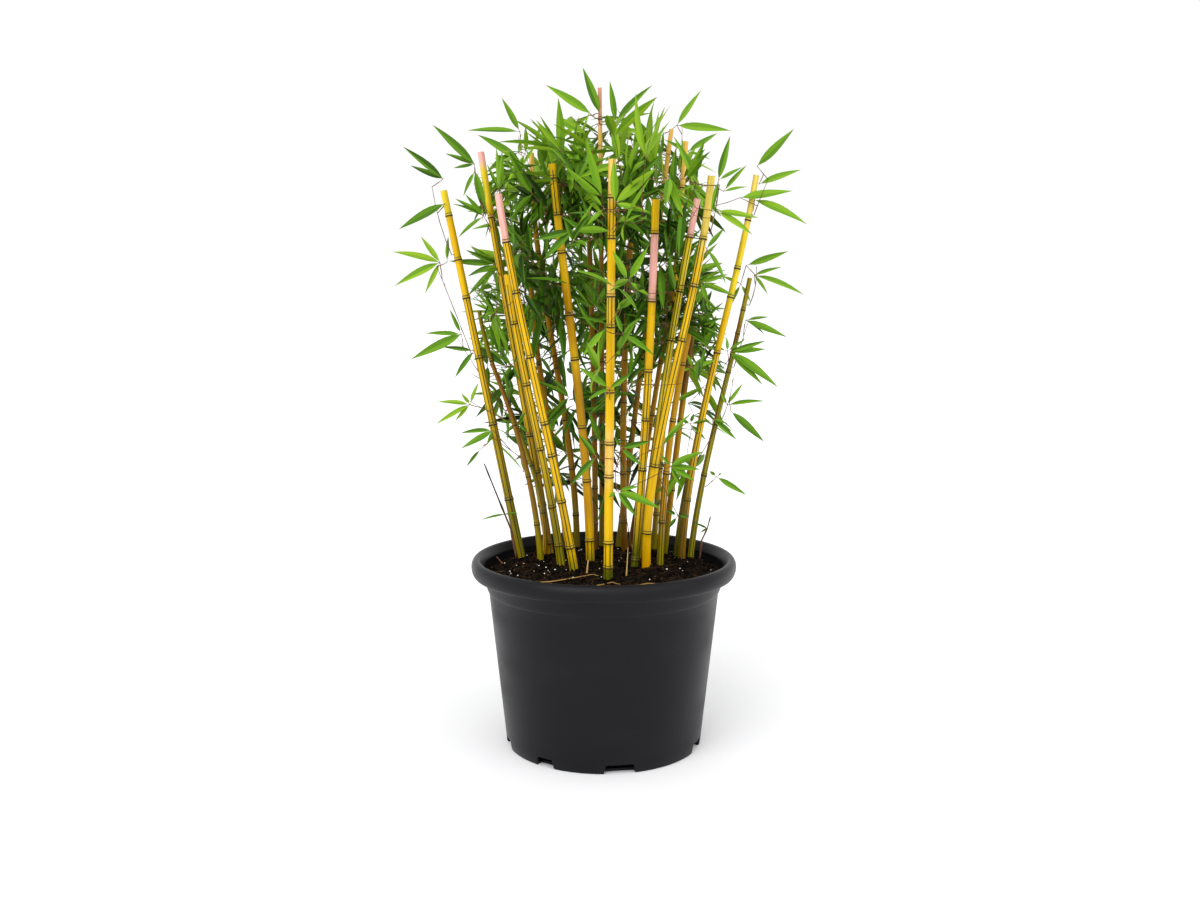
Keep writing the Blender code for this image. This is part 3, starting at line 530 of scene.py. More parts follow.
def make_crumbs(materials):
    """Loose crumbs of compost, and white grains of perlite on them."""
    rng = random.Random("crumbs")
    shape = Shape("crumb_dark", "crumb_brown", "crumb_bark")
    for _ in range(CRUMBS):
        slot = rng.choice(("crumb_dark",) * 5 + ("crumb_brown",) * 4 + ("crumb_bark",))
        size = rng.uniform(0.7, 2.6) * (1.25 if slot == "crumb_dark" else 0.8)
        point = on_soil(rng) + Vector((0, 0, size * 0.15))
        lump(shape, point, size, slot, rng)
    shape.build("compost_crumbs", materials, "compost", smooth=False)
    grains = Shape("perlite")
    for _ in range(PERLITE_GRAINS):
        size = rng.uniform(0.45, 1.4)
        lump(grains, on_soil(rng, 0.93) + Vector((0, 0, size * 0.6)), size, "perlite", rng)
    grains.build("perlite_grains", materials, "compost", smooth=False)


# thin roots that lie on the compost: (x, y) points
ROOTS = (((-86, -88), (-62, -84), (-38, -70), (-14, -62), (-4, -66)),
         ((-8, -104), (-2, -92), (10, -88), (22, -98)),
         ((38, -100), (52, -92), (70, -96)))


def make_strands(materials):
    """Short fibres strewn on the compost, and the thin roots."""
    rng = random.Random("strands")
    shape = Shape("fibre", "root")
    for _ in range(FIBRES):
        start = on_soil(rng, 0.92)
        a = rng.uniform(0, 2 * math.pi)
        length = rng.uniform(5, 20)
        points = []
        for k in range(4):
            p = start + Vector((math.cos(a), math.sin(a), 0)) * (length * k / 3)
            a += rng.uniform(-0.5, 0.5)
            if math.hypot(p.x, p.y) < SOIL_R - 3:
                points.append(Vector((p.x, p.y, soil_height(p.x, p.y) + rng.uniform(0.1, 1.3))))
        if len(points) > 2:
            width = rng.uniform(0.2, 0.42)
            shape.tube(points, [width] * len(points), 4, "fibre")
    for line in ROOTS:
        points = finer([Vector((x, y, soil_height(x, y) + 1.5)) for x, y in line], 4)
        fine = [Vector((p.x, p.y, max(p.z, soil_height(p.x, p.y) + 0.8))) for p in points]
        radii = [0.85 - 0.5 * k / len(fine) for k in range(len(fine))]
        shape.tube(fine, radii, 6, "root")
    shape.build("compost_strands", materials, "compost")


# --------------------------------------------------------------------- canes

CANE_FOOT_Z = 222.3
NODE_SWELL = 1.12              # the solid's widest factor, for clearances
NODE_STEP = 4.0                # the solid's swelling ends this far above the node
NODE_FIRST = 34.0              # default spacing, where a cane states no nodes
NODE_SPACING = 62.0
NODE_GROWTH = 1.06
SWAY_SCALE = 6 * math.sqrt(3)  # makes the S-bend's largest offset equal to sway
CANE_COLUMNS = 48              # points round a cane's skin


class Cane:
    """A leaning, gently bent cane: foot (x, y), tip (x, y, z), diameters at both, bends
    and node heights.  Its samples are the middles of the solid cane's rings."""

    def __init__(self, foot, tip, dia, bow=0.0, sway=0.0, nodes=None):
        self.foot = Vector((foot[0], foot[1], CANE_FOOT_Z))
        self.tip = Vector(tip)
        self.dia = dia
        self.bow = bow
        self.sway = sway
        self.nodes = nodes or self.default_nodes()
        rings = [self.at(z + rise) for z in self.nodes for rise in (0.0, NODE_STEP)]
        self.stations = [0.0] + rings + [1.0]
        self.samples = [self.axis(t) for t in self.stations]

    def default_nodes(self):
        """Node heights that start near the foot and draw apart upwards."""
        heights = []
        z = self.foot.z + NODE_FIRST + (abs(self.foot.x * 7) + abs(self.foot.y * 3)) % 25
        step = NODE_SPACING
        while z < self.tip.z - 20:
            heights.append(z)
            z += step
            step *= NODE_GROWTH
        return heights

    def at(self, z):
        """Position along the cane, 0 at its foot and 1 at its tip, for a height."""
        return (z - self.foot.z) / (self.tip.z - self.foot.z)

    def axis(self, t):
        """The middle of the bent cane."""
        point = self.foot.lerp(self.tip, t)
        point.x += 4 * self.bow * t * (1 - t)
        point.x += SWAY_SCALE * self.sway * t * (1 - t) * (1 - 2 * t)
        return point

    def centre(self, t):
        """The middle of the solid cane, which is straight between its rings."""
        k = max(i for i, start in enumerate(self.stations[:-1]) if start <= t)
        start, end = self.stations[k:k + 2]
        return self.samples[k].lerp(self.samples[k + 1], (t - start) / (end - start))

    def radius(self, t):
        """Between the nodes."""
        return (self.dia[0] + (self.dia[1] - self.dia[0]) * t) / 2


CANES = {
    "cane_01": Cane((-107, 55), (-202, 68, 691), (11.7, 8.5), 0, 0, (298, 395, 480, 556, 604, 659)),
    "cane_02": Cane((-71, 79), (-158, 105, 743), (11.2, 8.4), 0, 1, (235, 286, 329, 377, 659)),
    "cane_03": Cane((-36, -29), (-123, -56, 677), (11.1, 8.2), -1, 2,
                    (253, 310, 367, 406, 486, 562, 621)),
    "cane_04": Cane((-53, 2), (-117, -8, 585), (10.7, 8.4), 0, 2, (249, 298, 370, 450, 525)),
    "cane_05": Cane((-81, 40), (-142, 42, 475), (8.4, 4.4), 11),
    "cane_06": Cane((-78, 67), (-160, 79, 541), (6.5, 5.2), 10, 8),
    "cane_07": Cane((-17, 22), (-63, 18, 719), (11.4, 9.6), 5, 2,
                    (251, 327, 395, 480, 535, 611, 657, 701)),
    "cane_08": Cane((-36, 119), (-96, 168, 749), (8.8, 6.8), -1, 6),
    "cane_09": Cane((-50, 113), (-98, 150, 588), (8.1, 6.8), -2, 3),
    "cane_10": Cane((5, -73), (9, -105, 711), (11.3, 8.8), 0, 0,
                    (238, 268, 348, 387, 448, 523, 558, 623, 668)),
    "cane_11": Cane((-2, 126), (-5, 182, 836), (8.2, 5.5), 1),
    "cane_12": Cane((39, -1), (62, -14, 674), (10.6, 9.2), 3, 0, (231, 345, 407, 467, 552, 633)),
    "cane_13": Cane((53, -9), (127, -28, 700), (11.2, 8.8), -6, -6, (267, 351, 505, 570, 626)),
    "cane_14": Cane((48, 37), (116, 40, 679), (10.3, 8.1), -5, 0, (503, 564, 631)),
    "cane_15": Cane((101, 49), (191, 58, 709), (9.7, 7.5), -7, -4, (298, 487, 557, 593, 653)),
    "cane_16": Cane((113, 56), (186, 67, 582), (8.4, 5.7), -4, -2, (329, 395, 462, 511, 541)),
    "cane_17": Cane((94, 62), (124, 66, 387), (5.9, 5.2), -4),
    "cane_18": Cane((71, 8), (105, 2, 517), (8.8, 7.3), -7),
    "cane_19": Cane((80, 79), (117, 95, 523), (8.6, 7.2), -1, 0, (306, 396, 470)),
    "cane_20": Cane((28, 86), (35, 110, 628), (8.6, 7.8), -5, 0, (262, 326, 420, 510, 580)),
    "cane_21": Cane((20, 122), (91, 175, 781), (8.1, 6.1)),
    "cane_22": Cane((-11, 98), (-19, 128, 635), (8.0, 6.6), 2, 0, (258, 305, 370, 450, 530)),
    "cane_23": Cane((67, 106), (109, 150, 762), (8.1, 6.7)),
    "cane_24": Cane((36, 121), (92, 155, 569), (7.5, 6.8), 1),
}

# the young shoots and cut stubs: points from the foot up, radii at the foot and the tip
SHOOTS = {
    "shoot_left": (((-112, 42, CANE_FOOT_Z), (-119, 40, 262), (-134, 40, 300), (-152, 38, 347)),
                   (2.0, 0.9)),
    "shoot_right": (((124, 42, CANE_FOOT_Z), (126, 42, 247), (133, 42, 262), (137, 42, 278)),
                    (1.5, 0.8)),
    "stub_left": (((-128, 15, CANE_FOOT_Z), (-131, 15, 226), (-136, 15, 232)), (2.4, 1.8)),
    "stub_centre": (((-21, -52, CANE_FOOT_Z), (-20, -52, 232), (-19, -52, 242)), (3.2, 2.4)),
    "stub_right": (((27, -58, CANE_FOOT_Z), (28, -58, 240), (29, -58, 259)), (2.2, 1.6)),
}

TINTS = {"gold": (222, 178, 0), "lemon": (226, 200, 40), "amber": (202, 150, 0),
         "olive": (142, 130, 6), "moss": (88, 94, 6), "brown": (126, 88, 14),
         "ochre": (178, 132, 8), "peach": (238, 194, 96), "pink": (234, 174, 166),
         "straw": (226, 202, 94)}
TINTS = {name: Vector(srgb(*colour)[:3]) for name, colour in TINTS.items()}
NODE_STAIN = 0.45              # how much olive a cane takes on at a node
NODE_STAIN_REACH = 8.0         # and how far from it
CLUMP_Y = 28.0                 # the middle of the clump
# painted shade: the sides of the canes that face into the clump keep only these shares of their
# colour
PAINTED_SHADE_FACTOR = Vector((0.46, 0.44, 0.22))     # how much of each colour the inner sides keep
# the painted shade on the inner sides is weaker high up, and on the canes in front, more so above
# the feet
HIGH_UP = (610, 720)
IN_FRONT = (45, 80)
OVER_FEET = (380, 500)


def eased(value, low, high):
    """0 below low, 1 above high, and eased between."""
    t = min(1.0, max(0.0, (value - low) / (high - low)))
    return t * t * (3 - 2 * t)


class Skin:
    """A cane's colours: its main one, the one at its foot and the heights between which
    that fades, others (low, high, name, softness), and the internodes with green lines."""

    def __init__(self, main, foot="olive", fade=(226, 330), others=(), lined=()):
        self.main = TINTS[main]
        self.foot = TINTS[foot]
        self.fade = fade
        self.others = others
        self.lined = lined

    def tint_and_painted_shade(self, point, facing, node_gap):
        """The colour at a point, on a side that faces out of the clump (1) or in (-1), with painted
        shade on the inner side.
        """
        z = point.z
        colour = self.foot.lerp(self.main, eased(z, *self.fade))
        for low, high, name, soft in self.others:
            share = eased(z, low - soft, low + 1) * (1 - eased(z, high - 1, high + soft))
            colour = colour.lerp(TINTS[name], share)
        stain = NODE_STAIN * max(0.0, 1 - node_gap / NODE_STAIN_REACH)
        colour = colour.lerp(TINTS["olive"], stain)
        front = 1 - eased(point.y, *IN_FRONT)
        # painted shade on the sides that face into the clump
        shade = eased(-facing, -0.1, 1.0) * (1 - 0.7 * eased(z, *HIGH_UP))
        shade *= (1 - 0.4 * front) * (1 - 0.5 * front * eased(z, *OVER_FEET))
        return colour * (1 - shade) + colour * PAINTED_SHADE_FACTOR * shade


SKINS = {
    "cane_01": Skin("gold", "olive", (250, 520), ((660, 692, "lemon", 4),), range(4)),
    "cane_02": Skin("gold", "amber", (228, 330),
                    ((684, 724, "lemon", 20), (727, 745, "pink", 3)), range(5)),
    "cane_03": Skin("gold", "olive", (226, 250), ((621, 678, "pink", 0.5),), range(7)),
    "cane_04": Skin("gold", "olive", (230, 480), (), range(6)),
    "cane_05": Skin("brown"),
    "cane_06": Skin("olive", "amber", lined=range(2)),
    "cane_07": Skin("gold", "olive", (226, 242),
                    ((300, 330, "amber", 40), (345, 450, "ochre", 30), (500, 560, "amber", 20)),
                    (0, 7, 8)),
    "cane_08": Skin("amber", others=((715, 750, "peach", 20),)),
    "cane_09": Skin("amber", "brown"),
    "cane_10": Skin("gold", "moss", (234, 242), ((348, 398, "peach", 14), (558, 569, "peach", 4),
                                                 (665, 712, "peach", 6)), (0, 1, 6, 8)),
    "cane_11": Skin("amber", others=((640, 790, "peach", 60), (795, 837, "pink", 20))),
    "cane_12": Skin("gold", "moss", (232, 300), ((552, 633, "pink", 0.5),), range(4)),
    "cane_13": Skin("gold", "amber", (226, 268), ((626, 701, "straw", 30),), (2, 3, 4)),
    "cane_14": Skin("gold", "olive", (240, 380),
                    ((420, 630, "lemon", 40), (631, 680, "pink", 0.5)), range(3)),
    "cane_15": Skin("gold", "brown", (226, 420),
                    ((560, 654, "lemon", 30), (655, 710, "straw", 20)), range(2)),
    "cane_16": Skin("olive", "olive", (226, 300), ((500, 522, "brown", 8),), range(4)),
    "cane_17": Skin("olive", "moss", (226, 260), (), range(3)),
    "cane_18": Skin("ochre", "olive", (226, 300), (), range(2)),
    "cane_19": Skin("amber", "olive", (226, 300), ((450, 524, "brown", 40),)),
    "cane_20": Skin("amber", "brown", others=((500, 600, "ochre", 40),)),
    "cane_21": Skin("amber", others=((660, 782, "peach", 60),)),
    "cane_22": Skin("ochre", "brown"),
    "cane_23": Skin("gold", others=((690, 763, "peach", 40),)),
    "cane_24": Skin("amber", "brown"),
}
# canes whose slot name is the duller one; build takes the name but doesn't use it
BACK_CANES = {"cane_05", "cane_06", "cane_08", "cane_09", "cane_11", "cane_16", "cane_17",
              "cane_19", "cane_20", "cane_21", "cane_22", "cane_23", "cane_24"}
SPIN = [2 * math.pi * i / CANE_COLUMNS for i in range(CANE_COLUMNS)]
INTERNODE_STEP = 12.0          # between rings
LINE_STARTS = ((-8, 3), (12, 2), (26, 2))   # the column of each group of green lines, how many
GROOVE_DEPTH = 0.09            # of the radius
GROOVE_START = 4.0             # above its node
GROOVE_LENGTH = 110.0
BURIED_NODE = 60.0             # how far under the foot the last node lies
# (height over the node, radius, colour of the band under it or None for the skin)
NODE_BANDS = ((-7.0, 0.985, None), (-2.6, 1.0, None), (-1.3, 1.07, None), (-0.4, 1.125, "ring"),
              (0.6, 1.10, "ring"), (1.4, 1.035, None), (2.4, 1.06, None), (3.3, 1.01, "ring"),
              (5.0, 0.97, None), (9.0, 0.98, None))

# (height from the tip, radius, how ragged, slot of the band under it), over the edge and in
CUT_LEVELS = ((-2.4, 1.0, 0.0, "skin"), (-0.4, 1.0, 1.0, "skin"), (-0.3, 0.94, 1.0, "cut"),
              (-0.6, 0.62, 1.0, "cut"), (-5.0, 0.57, 0.0, "cut"))


def cane_rings(cane):
    """(height, radius factor, internode, band colour) of every ring, from the foot up."""
    rings = [(cane.foot.z, 1.04, 0, None)]
    edges = [cane.foot.z] + list(cane.nodes) + [cane.tip.z]
    for k in range(len(edges) - 1):
        low = edges[k] + (NODE_BANDS[-1][0] if k else 0.0)
        high = edges[k + 1] + (NODE_BANDS[0][0] if k + 2 < len(edges) else 0.0)
        steps = max(1, round((high - low) / INTERNODE_STEP))
        for i in range(1, steps):
            rings.append((low + (high - low) * i / steps, 1.0, k, None))
        if k + 2 < len(edges):
            for rise, swell, band in NODE_BANDS:
                rings.append((edges[k + 1] + rise, swell, k + (rise > 0), band))
    return [ring for ring in rings if ring[0] < cane.tip.z - 5]


def ring_axes(cane, t):
    """The cane's front and its right at t."""
    along = (cane.axis(min(t + 0.01, 1)) - cane.axis(max(t - 0.01, 0))).normalized()
    right = (Vector((1, 0, 0)) - along * along.x).normalized()
    return right.cross(along), right


def make_cane(name, cane, materials):
    """Skin with node ridges, a groove over each node, green lines and a hollow cut top."""
    skin = SKINS[name]
    count = len(cane.nodes) + 1
    rng = random.Random("skin of " + name)
    shape = Shape("skin", "line", "ring", "cut")
    tints = []
    grooves = [rng.uniform(-0.5, 0.5) + (math.pi if k % 2 else 0.0) for k in range(count)]
    lines = [line_columns(rng, k in skin.lined) for k in range(count)]
    rows = cane_rings(cane)
    for z, swell, part, _ in rows:
        t = cane.at(z)
        base = cane.radius(t) * swell
        radii = [base * (1 - groove_depth(a - grooves[part], z, cane, part)) for a in SPIN]
        add_ring(shape, tints, skin, cane, t, radii)
    for k, (_, _, part, band) in enumerate(rows[1:]):
        slots = [band or ("line" if i in lines[part] else "skin") for i in range(CANE_COLUMNS)]
        shape.band(k * CANE_COLUMNS, (k + 1) * CANE_COLUMNS, slots)
    shape.face(tuple(reversed(range(CANE_COLUMNS))), "cut")
    cut_top(shape, tints, skin, cane, rng, (len(rows) - 1) * CANE_COLUMNS)
    turn = (cane.tip - cane.foot).to_track_quat("Z", "Y").to_matrix().to_4x4()
    slot = "olive_cane" if name in BACK_CANES else "golden_cane"
    shape.build("culm" + name[-3:], materials, slot, (name,), sharp=55,
                place=Matrix.Translation(cane.foot * MM) @ turn, tints=tints)


def add_ring(shape, tints, skin, cane, t, radii, lifts=None):
    """One ring of points and their tints."""
    centre = cane.axis(t)
    front, right = ring_axes(cane, min(t, 1.0))
    # the way out of the clump, which sets the painted shade on the inner sides
    outward = Vector((centre.x, centre.y - CLUMP_Y, 0)).normalized()
    z = cane.foot.z + (cane.tip.z - cane.foot.z) * t
    node_gap = min(abs(z - node - 1.5) for node in cane.nodes)
    for i, (a, radius) in enumerate(zip(SPIN, radii)):
        way = front * math.cos(a) + right * math.sin(a)
        shape.verts.append(centre + way * radius + Vector((0, 0, lifts[i] if lifts else 0.0)))
        tints.append(skin.tint_and_painted_shade(Vector((centre.x, centre.y, z)), way.dot(outward), node_gap))


def line_columns(rng, lined):
    """Columns that a lined internode's green lines run in: some in front, some behind."""
    if not lined:
        return set()
    picked = set()
    for start, count in LINE_STARTS:
        at = start + rng.randint(-1, 3)
        for _ in range(count):
            picked.update((at + k) % CANE_COLUMNS for k in range(2))
            at += rng.choice((6, 7, 8))
    return picked


def groove_depth(angle, z, cane, part):
    """The shallow groove that starts above a node, on its branch side."""
    low = cane.nodes[part - 1] if part else cane.foot.z - BURIED_NODE
    rise = z - low
    if rise < GROOVE_START:
        return 0.0
    fade = min(1.0, (rise - GROOVE_START) / 10) * max(0.0, 1 - rise / GROOVE_LENGTH)
    return GROOVE_DEPTH * fade * max(0.0, math.cos(angle)) ** 4


def cut_top(shape, tints, skin, cane, rng, below):
    """The ragged cut edge, its dark rim and the hollow inside."""
    ragged = [rng.uniform(-1.3, 0.0) for _ in range(CANE_COLUMNS)]
    ragged = [(lift + ragged[i - 1]) / 2 for i, lift in enumerate(ragged)]
    for rise, width, rough, slot in CUT_LEVELS:
        t = cane.at(cane.tip.z + rise)
        start = len(shape.verts)
        add_ring(shape, tints, skin, cane, t, [cane.radius(t) * width] * CANE_COLUMNS,
                 [lift * rough for lift in ragged])
        shape.band(below, start, [slot] * CANE_COLUMNS)
        below = start
    shape.face(tuple(below + i for i in range(CANE_COLUMNS)), "cut")


STUB_THIN = 0.5                # the stubs taper to a narrower spike than their solids
SHOOT_TONE = 3                 # the green of the shoots' leaves
STUB_SLOTS = {"stub_left": "shoot", "stub_centre": "spike", "stub_right": "spike"}
# small leaves on the shoots: their height, and each tip right and up
SHOOT_LEAVES = {"shoot_left": (283, ((-32, -8), (20, 2))),
                "shoot_right": (262, ((-21, 7), (-9, -6)))}


def make_shoots(materials):
    """Sheathed shoots with small leaves, and the stubs as narrow spikes."""
    rng = random.Random("shoots")
    for name, (points, radii) in SHOOTS.items():
        points = [Vector(p) for p in points]
        slot = STUB_SLOTS.get(name, "shoot")
        greens = [f"leaf_{SHOOT_TONE + k}" for k in range(3)]
        shape = Shape(slot, *greens, "tip")
        fine = finer(points, 4) + [points[-1]]
        last = len(fine) - 1
        widths = [radii[0] + (radii[1] - radii[0]) * k / last for k in range(last + 1)]
        if name in STUB_SLOTS:
            widths = [w * STUB_THIN * (1 - 0.5 * k / last) for k, w in enumerate(widths)]
        else:
            widths = [w * (1.15 if k % 4 == 3 else 0.8) for k, w in enumerate(widths)]
        shape.tube(fine, widths, 10, slot)
        height, tips = SHOOT_LEAVES.get(name, (0, ()))
        hub = min(fine, key=lambda p: abs(p.z - height))
        for dx, dz in tips:
            tip = hub + Vector((dx, rng.uniform(-5, 5), dz))
            add_blade(shape, hub, tip, Vector((0, -0.5, 1)), SHOOT_TONE, FAN_WIDTH, rng)
        shape.build(name + "_skin", materials, "shoot_brown", (name,))


# ------------------------------------------------------------------- foliage

# height and radius of the space that all foliage keeps to, round the clump's middle
CROWN = ((270, 95), (320, 170), (400, 212), (480, 240), (560, 262), (700, 262),
         (780, 238), (820, 170), (875, 85))
OWN_MARGIN = 0.6               # how much nearer a leaf is to its own leader than to others
LIMB_CLEAR = 0.9               # between foliage and canes
NEAR_LEADERS = 330.0           # what lies further from a mass is left out of its tests
NEAR_LIMBS = 230.0

LEADER_R = 1.7
LEADER_RISE = 7.0              # where a leader starts, above its node
LEADER_TRIES = 400
# radii of the kinds of twig at their start and end
LEADER_TWIG = (0.6, 0.3)
FAN_TWIG = (0.55, 0.35)
SPRAY_TWIG = (0.42, 0.26)
LEAF_STALK = (0.4, 0.25)
KNUCKLE_STEP = 9.0             # between a twig's points, each third of which is a knuckle
KNUCKLE_SWELL = 1.3
SHEATHED = 0.5                 # the share of knuckles with a sheath
SHEATH_LENGTH = (4, 9)
NEAREST_JOINTS = slice(0, 30, 3)    # of the nearest twig points, those that are tried
HIDING_LENGTH = 25.0           # a twig as long as this costs as much as one hiding point
WORST_TWIG = 99                # a twig that costs this much isn't made
FAN_TWIG_LEAST = 14.0          # shortest twigs
SPRAY_TWIG_LEAST = 6.0
CANE_TWIG_RISE = 14.0          # from a cane's skin up to its fan

TWIG_REACH = (6.0, 115.0)      # from the leader to a spray
HUB_DRAWS = 9000               # places drawn for sprays
HUB_CLEAR = 1.5                # from the canes
HUB_MARGIN = 4.0               # within the mass's own space
HUB_APART = 11.0               # from spray to spray
HUBS_THIN_OUT = (1.9, 2.0)     # further apart low down and at the top, by these shares
PASS_GLIMPSED = 0.5            # the share of sprays that may pass before a glimpsed cane

SPRAY_LEAVES = (4, 7)
SPRAY_OPENING = 150.0          # degrees from the first leaf to the last
LEAF_LENGTH = (48.0, 74.0)
LEAF_TRIES = 6                 # ways that a leaf may try
LEAF_APART = 1.0               # between the middle lines of leaves
FAN_WIDTH = 0.165              # of a leaf's length
FRONT_FAN_WIDTH = 0.2
SPRAY_WIDTH = 0.145
LEAST_HALF_WIDTH = 2.2         # millimetres
# a leaf's outline: (share of its length, share of its width)
BLADE = ((0.0, 0.06), (0.05, 0.30), (0.14, 0.70), (0.26, 0.95), (0.40, 1.0), (0.56, 0.87),
         (0.72, 0.61), (0.86, 0.31), (0.94, 0.13))
BLADE_FOLD = 0.30              # how high its edges stand, as a share of half its width
BLADE_ARCH = (0.01, 0.055)     # of its length
BLADE_TWIST = 0.4              # radians

FAN_FRESHNESS = 0.58           # 0 is the deepest green and 1 the freshest
TONE_STEPS = 5.0               # greens from the freshest to the deepest
TONE_SPREAD = 1.1              # how far a spray strays from its own, in greens

# stretches over which the foliage changes little by little, in height but for the first
# two, which run out from the clump's middle and from the front to the back; the greens
# they set are partly painted light and shade: lighter outside, on top and low in front,
# and deeper inside the clump
OUTWARD = (70, 190)
BACKWARD = (60, 130)
# greens get lighter higher up, partly as painted light
UPWARD = (250, 560)            # greens get fresher
# painted light on the top of the crown
TOP_PAINTED_LIGHT = (650, 745)
# painted light low in front: the lighter green there fades out upwards
FEET_FADE = (350, 520)         # the fresh green low in front goes
FANS_LIGHTEN_UP = (380, 560)
SPRAYS_CLOSE_UP = (380, 560)
SPRAYS_PART = (700, 760)
LEAVES_LENGTHEN = (640, 760)
LEAVES_WIDEN = (680, 750)


class Mass:
    """One leaf mass: its cane, the height that its leader starts at, the leader's end,
    and the most seeded sprays that it carries."""

    def __init__(self, cane_name, height, end, sprays):
        self.cane = CANES[cane_name]
        self.height = height
        self.end = Vector(end)
        self.sprays = sprays


MASSES = {
    "top": Mass("cane_11", 770, (-18, 168, 797), 14),
    "top_right": Mass("cane_23", 700, (105, 170, 782), 30),
    "top_mid": Mass("cane_21", 640, (44, 120, 776), 44),
    "top_left": Mass("cane_08", 690, (-114, 172, 770), 26),
    "left_top": Mass("cane_02", 659, (-165, 100, 722), 26),
    "far_left_top": Mass("cane_01", 604, (-215, 58, 694), 4),
    "left_upper": Mass("cane_01", 480, (-212, 66, 596), 30),
    "left_mid": Mass("cane_06", 440, (-190, 66, 510), 36),
    "left_low": Mass("cane_05", 395, (-172, 54, 426), 24),
    "left_foot": Mass("cane_06", 330, (-146, 34, 385), 5),
    "right_top": Mass("cane_13", 626, (136, -34, 688), 34),
    "far_right_top": Mass("cane_15", 653, (204, 46, 702), 14),
    "right_upper": Mass("cane_16", 541, (194, 66, 596), 20),
    "right_mid": Mass("cane_16", 462, (186, 72, 528), 22),
    "right_low": Mass("cane_16", 395, (166, 58, 455), 18),
    "right_foot": Mass("cane_17", 340, (150, 50, 402), 10),
    "front_top": Mass("cane_10", 623, (16, -122, 663), 20),
    "front_upper": Mass("cane_10", 523, (32, -118, 577), 22),
    "front_mid": Mass("cane_10", 448, (24, -110, 515), 18),
    "front_low": Mass("cane_10", 348, (22, -96, 385), 9),
    "front_foot": Mass("cane_12", 285, (20, -62, 330), 2),
    "inner_left": Mass("cane_07", 535, (-100, -10, 610), 74),
    "inner_right": Mass("cane_14", 503, (78, 30, 610), 74),
    "inner_high": Mass("cane_07", 657, (-45, 60, 712), 90),
    "back_left": Mass("cane_09", 480, (-120, 190, 600), 62),
    "back_left_low": Mass("cane_09", 340, (-98, 165, 425), 50),
    "back_mid": Mass("cane_11", 500, (0, 225, 620), 80),
    "back_low": Mass("cane_22", 370, (4, 175, 430), 50),
    "back_right": Mass("cane_24", 470, (130, 180, 590), 58),
}

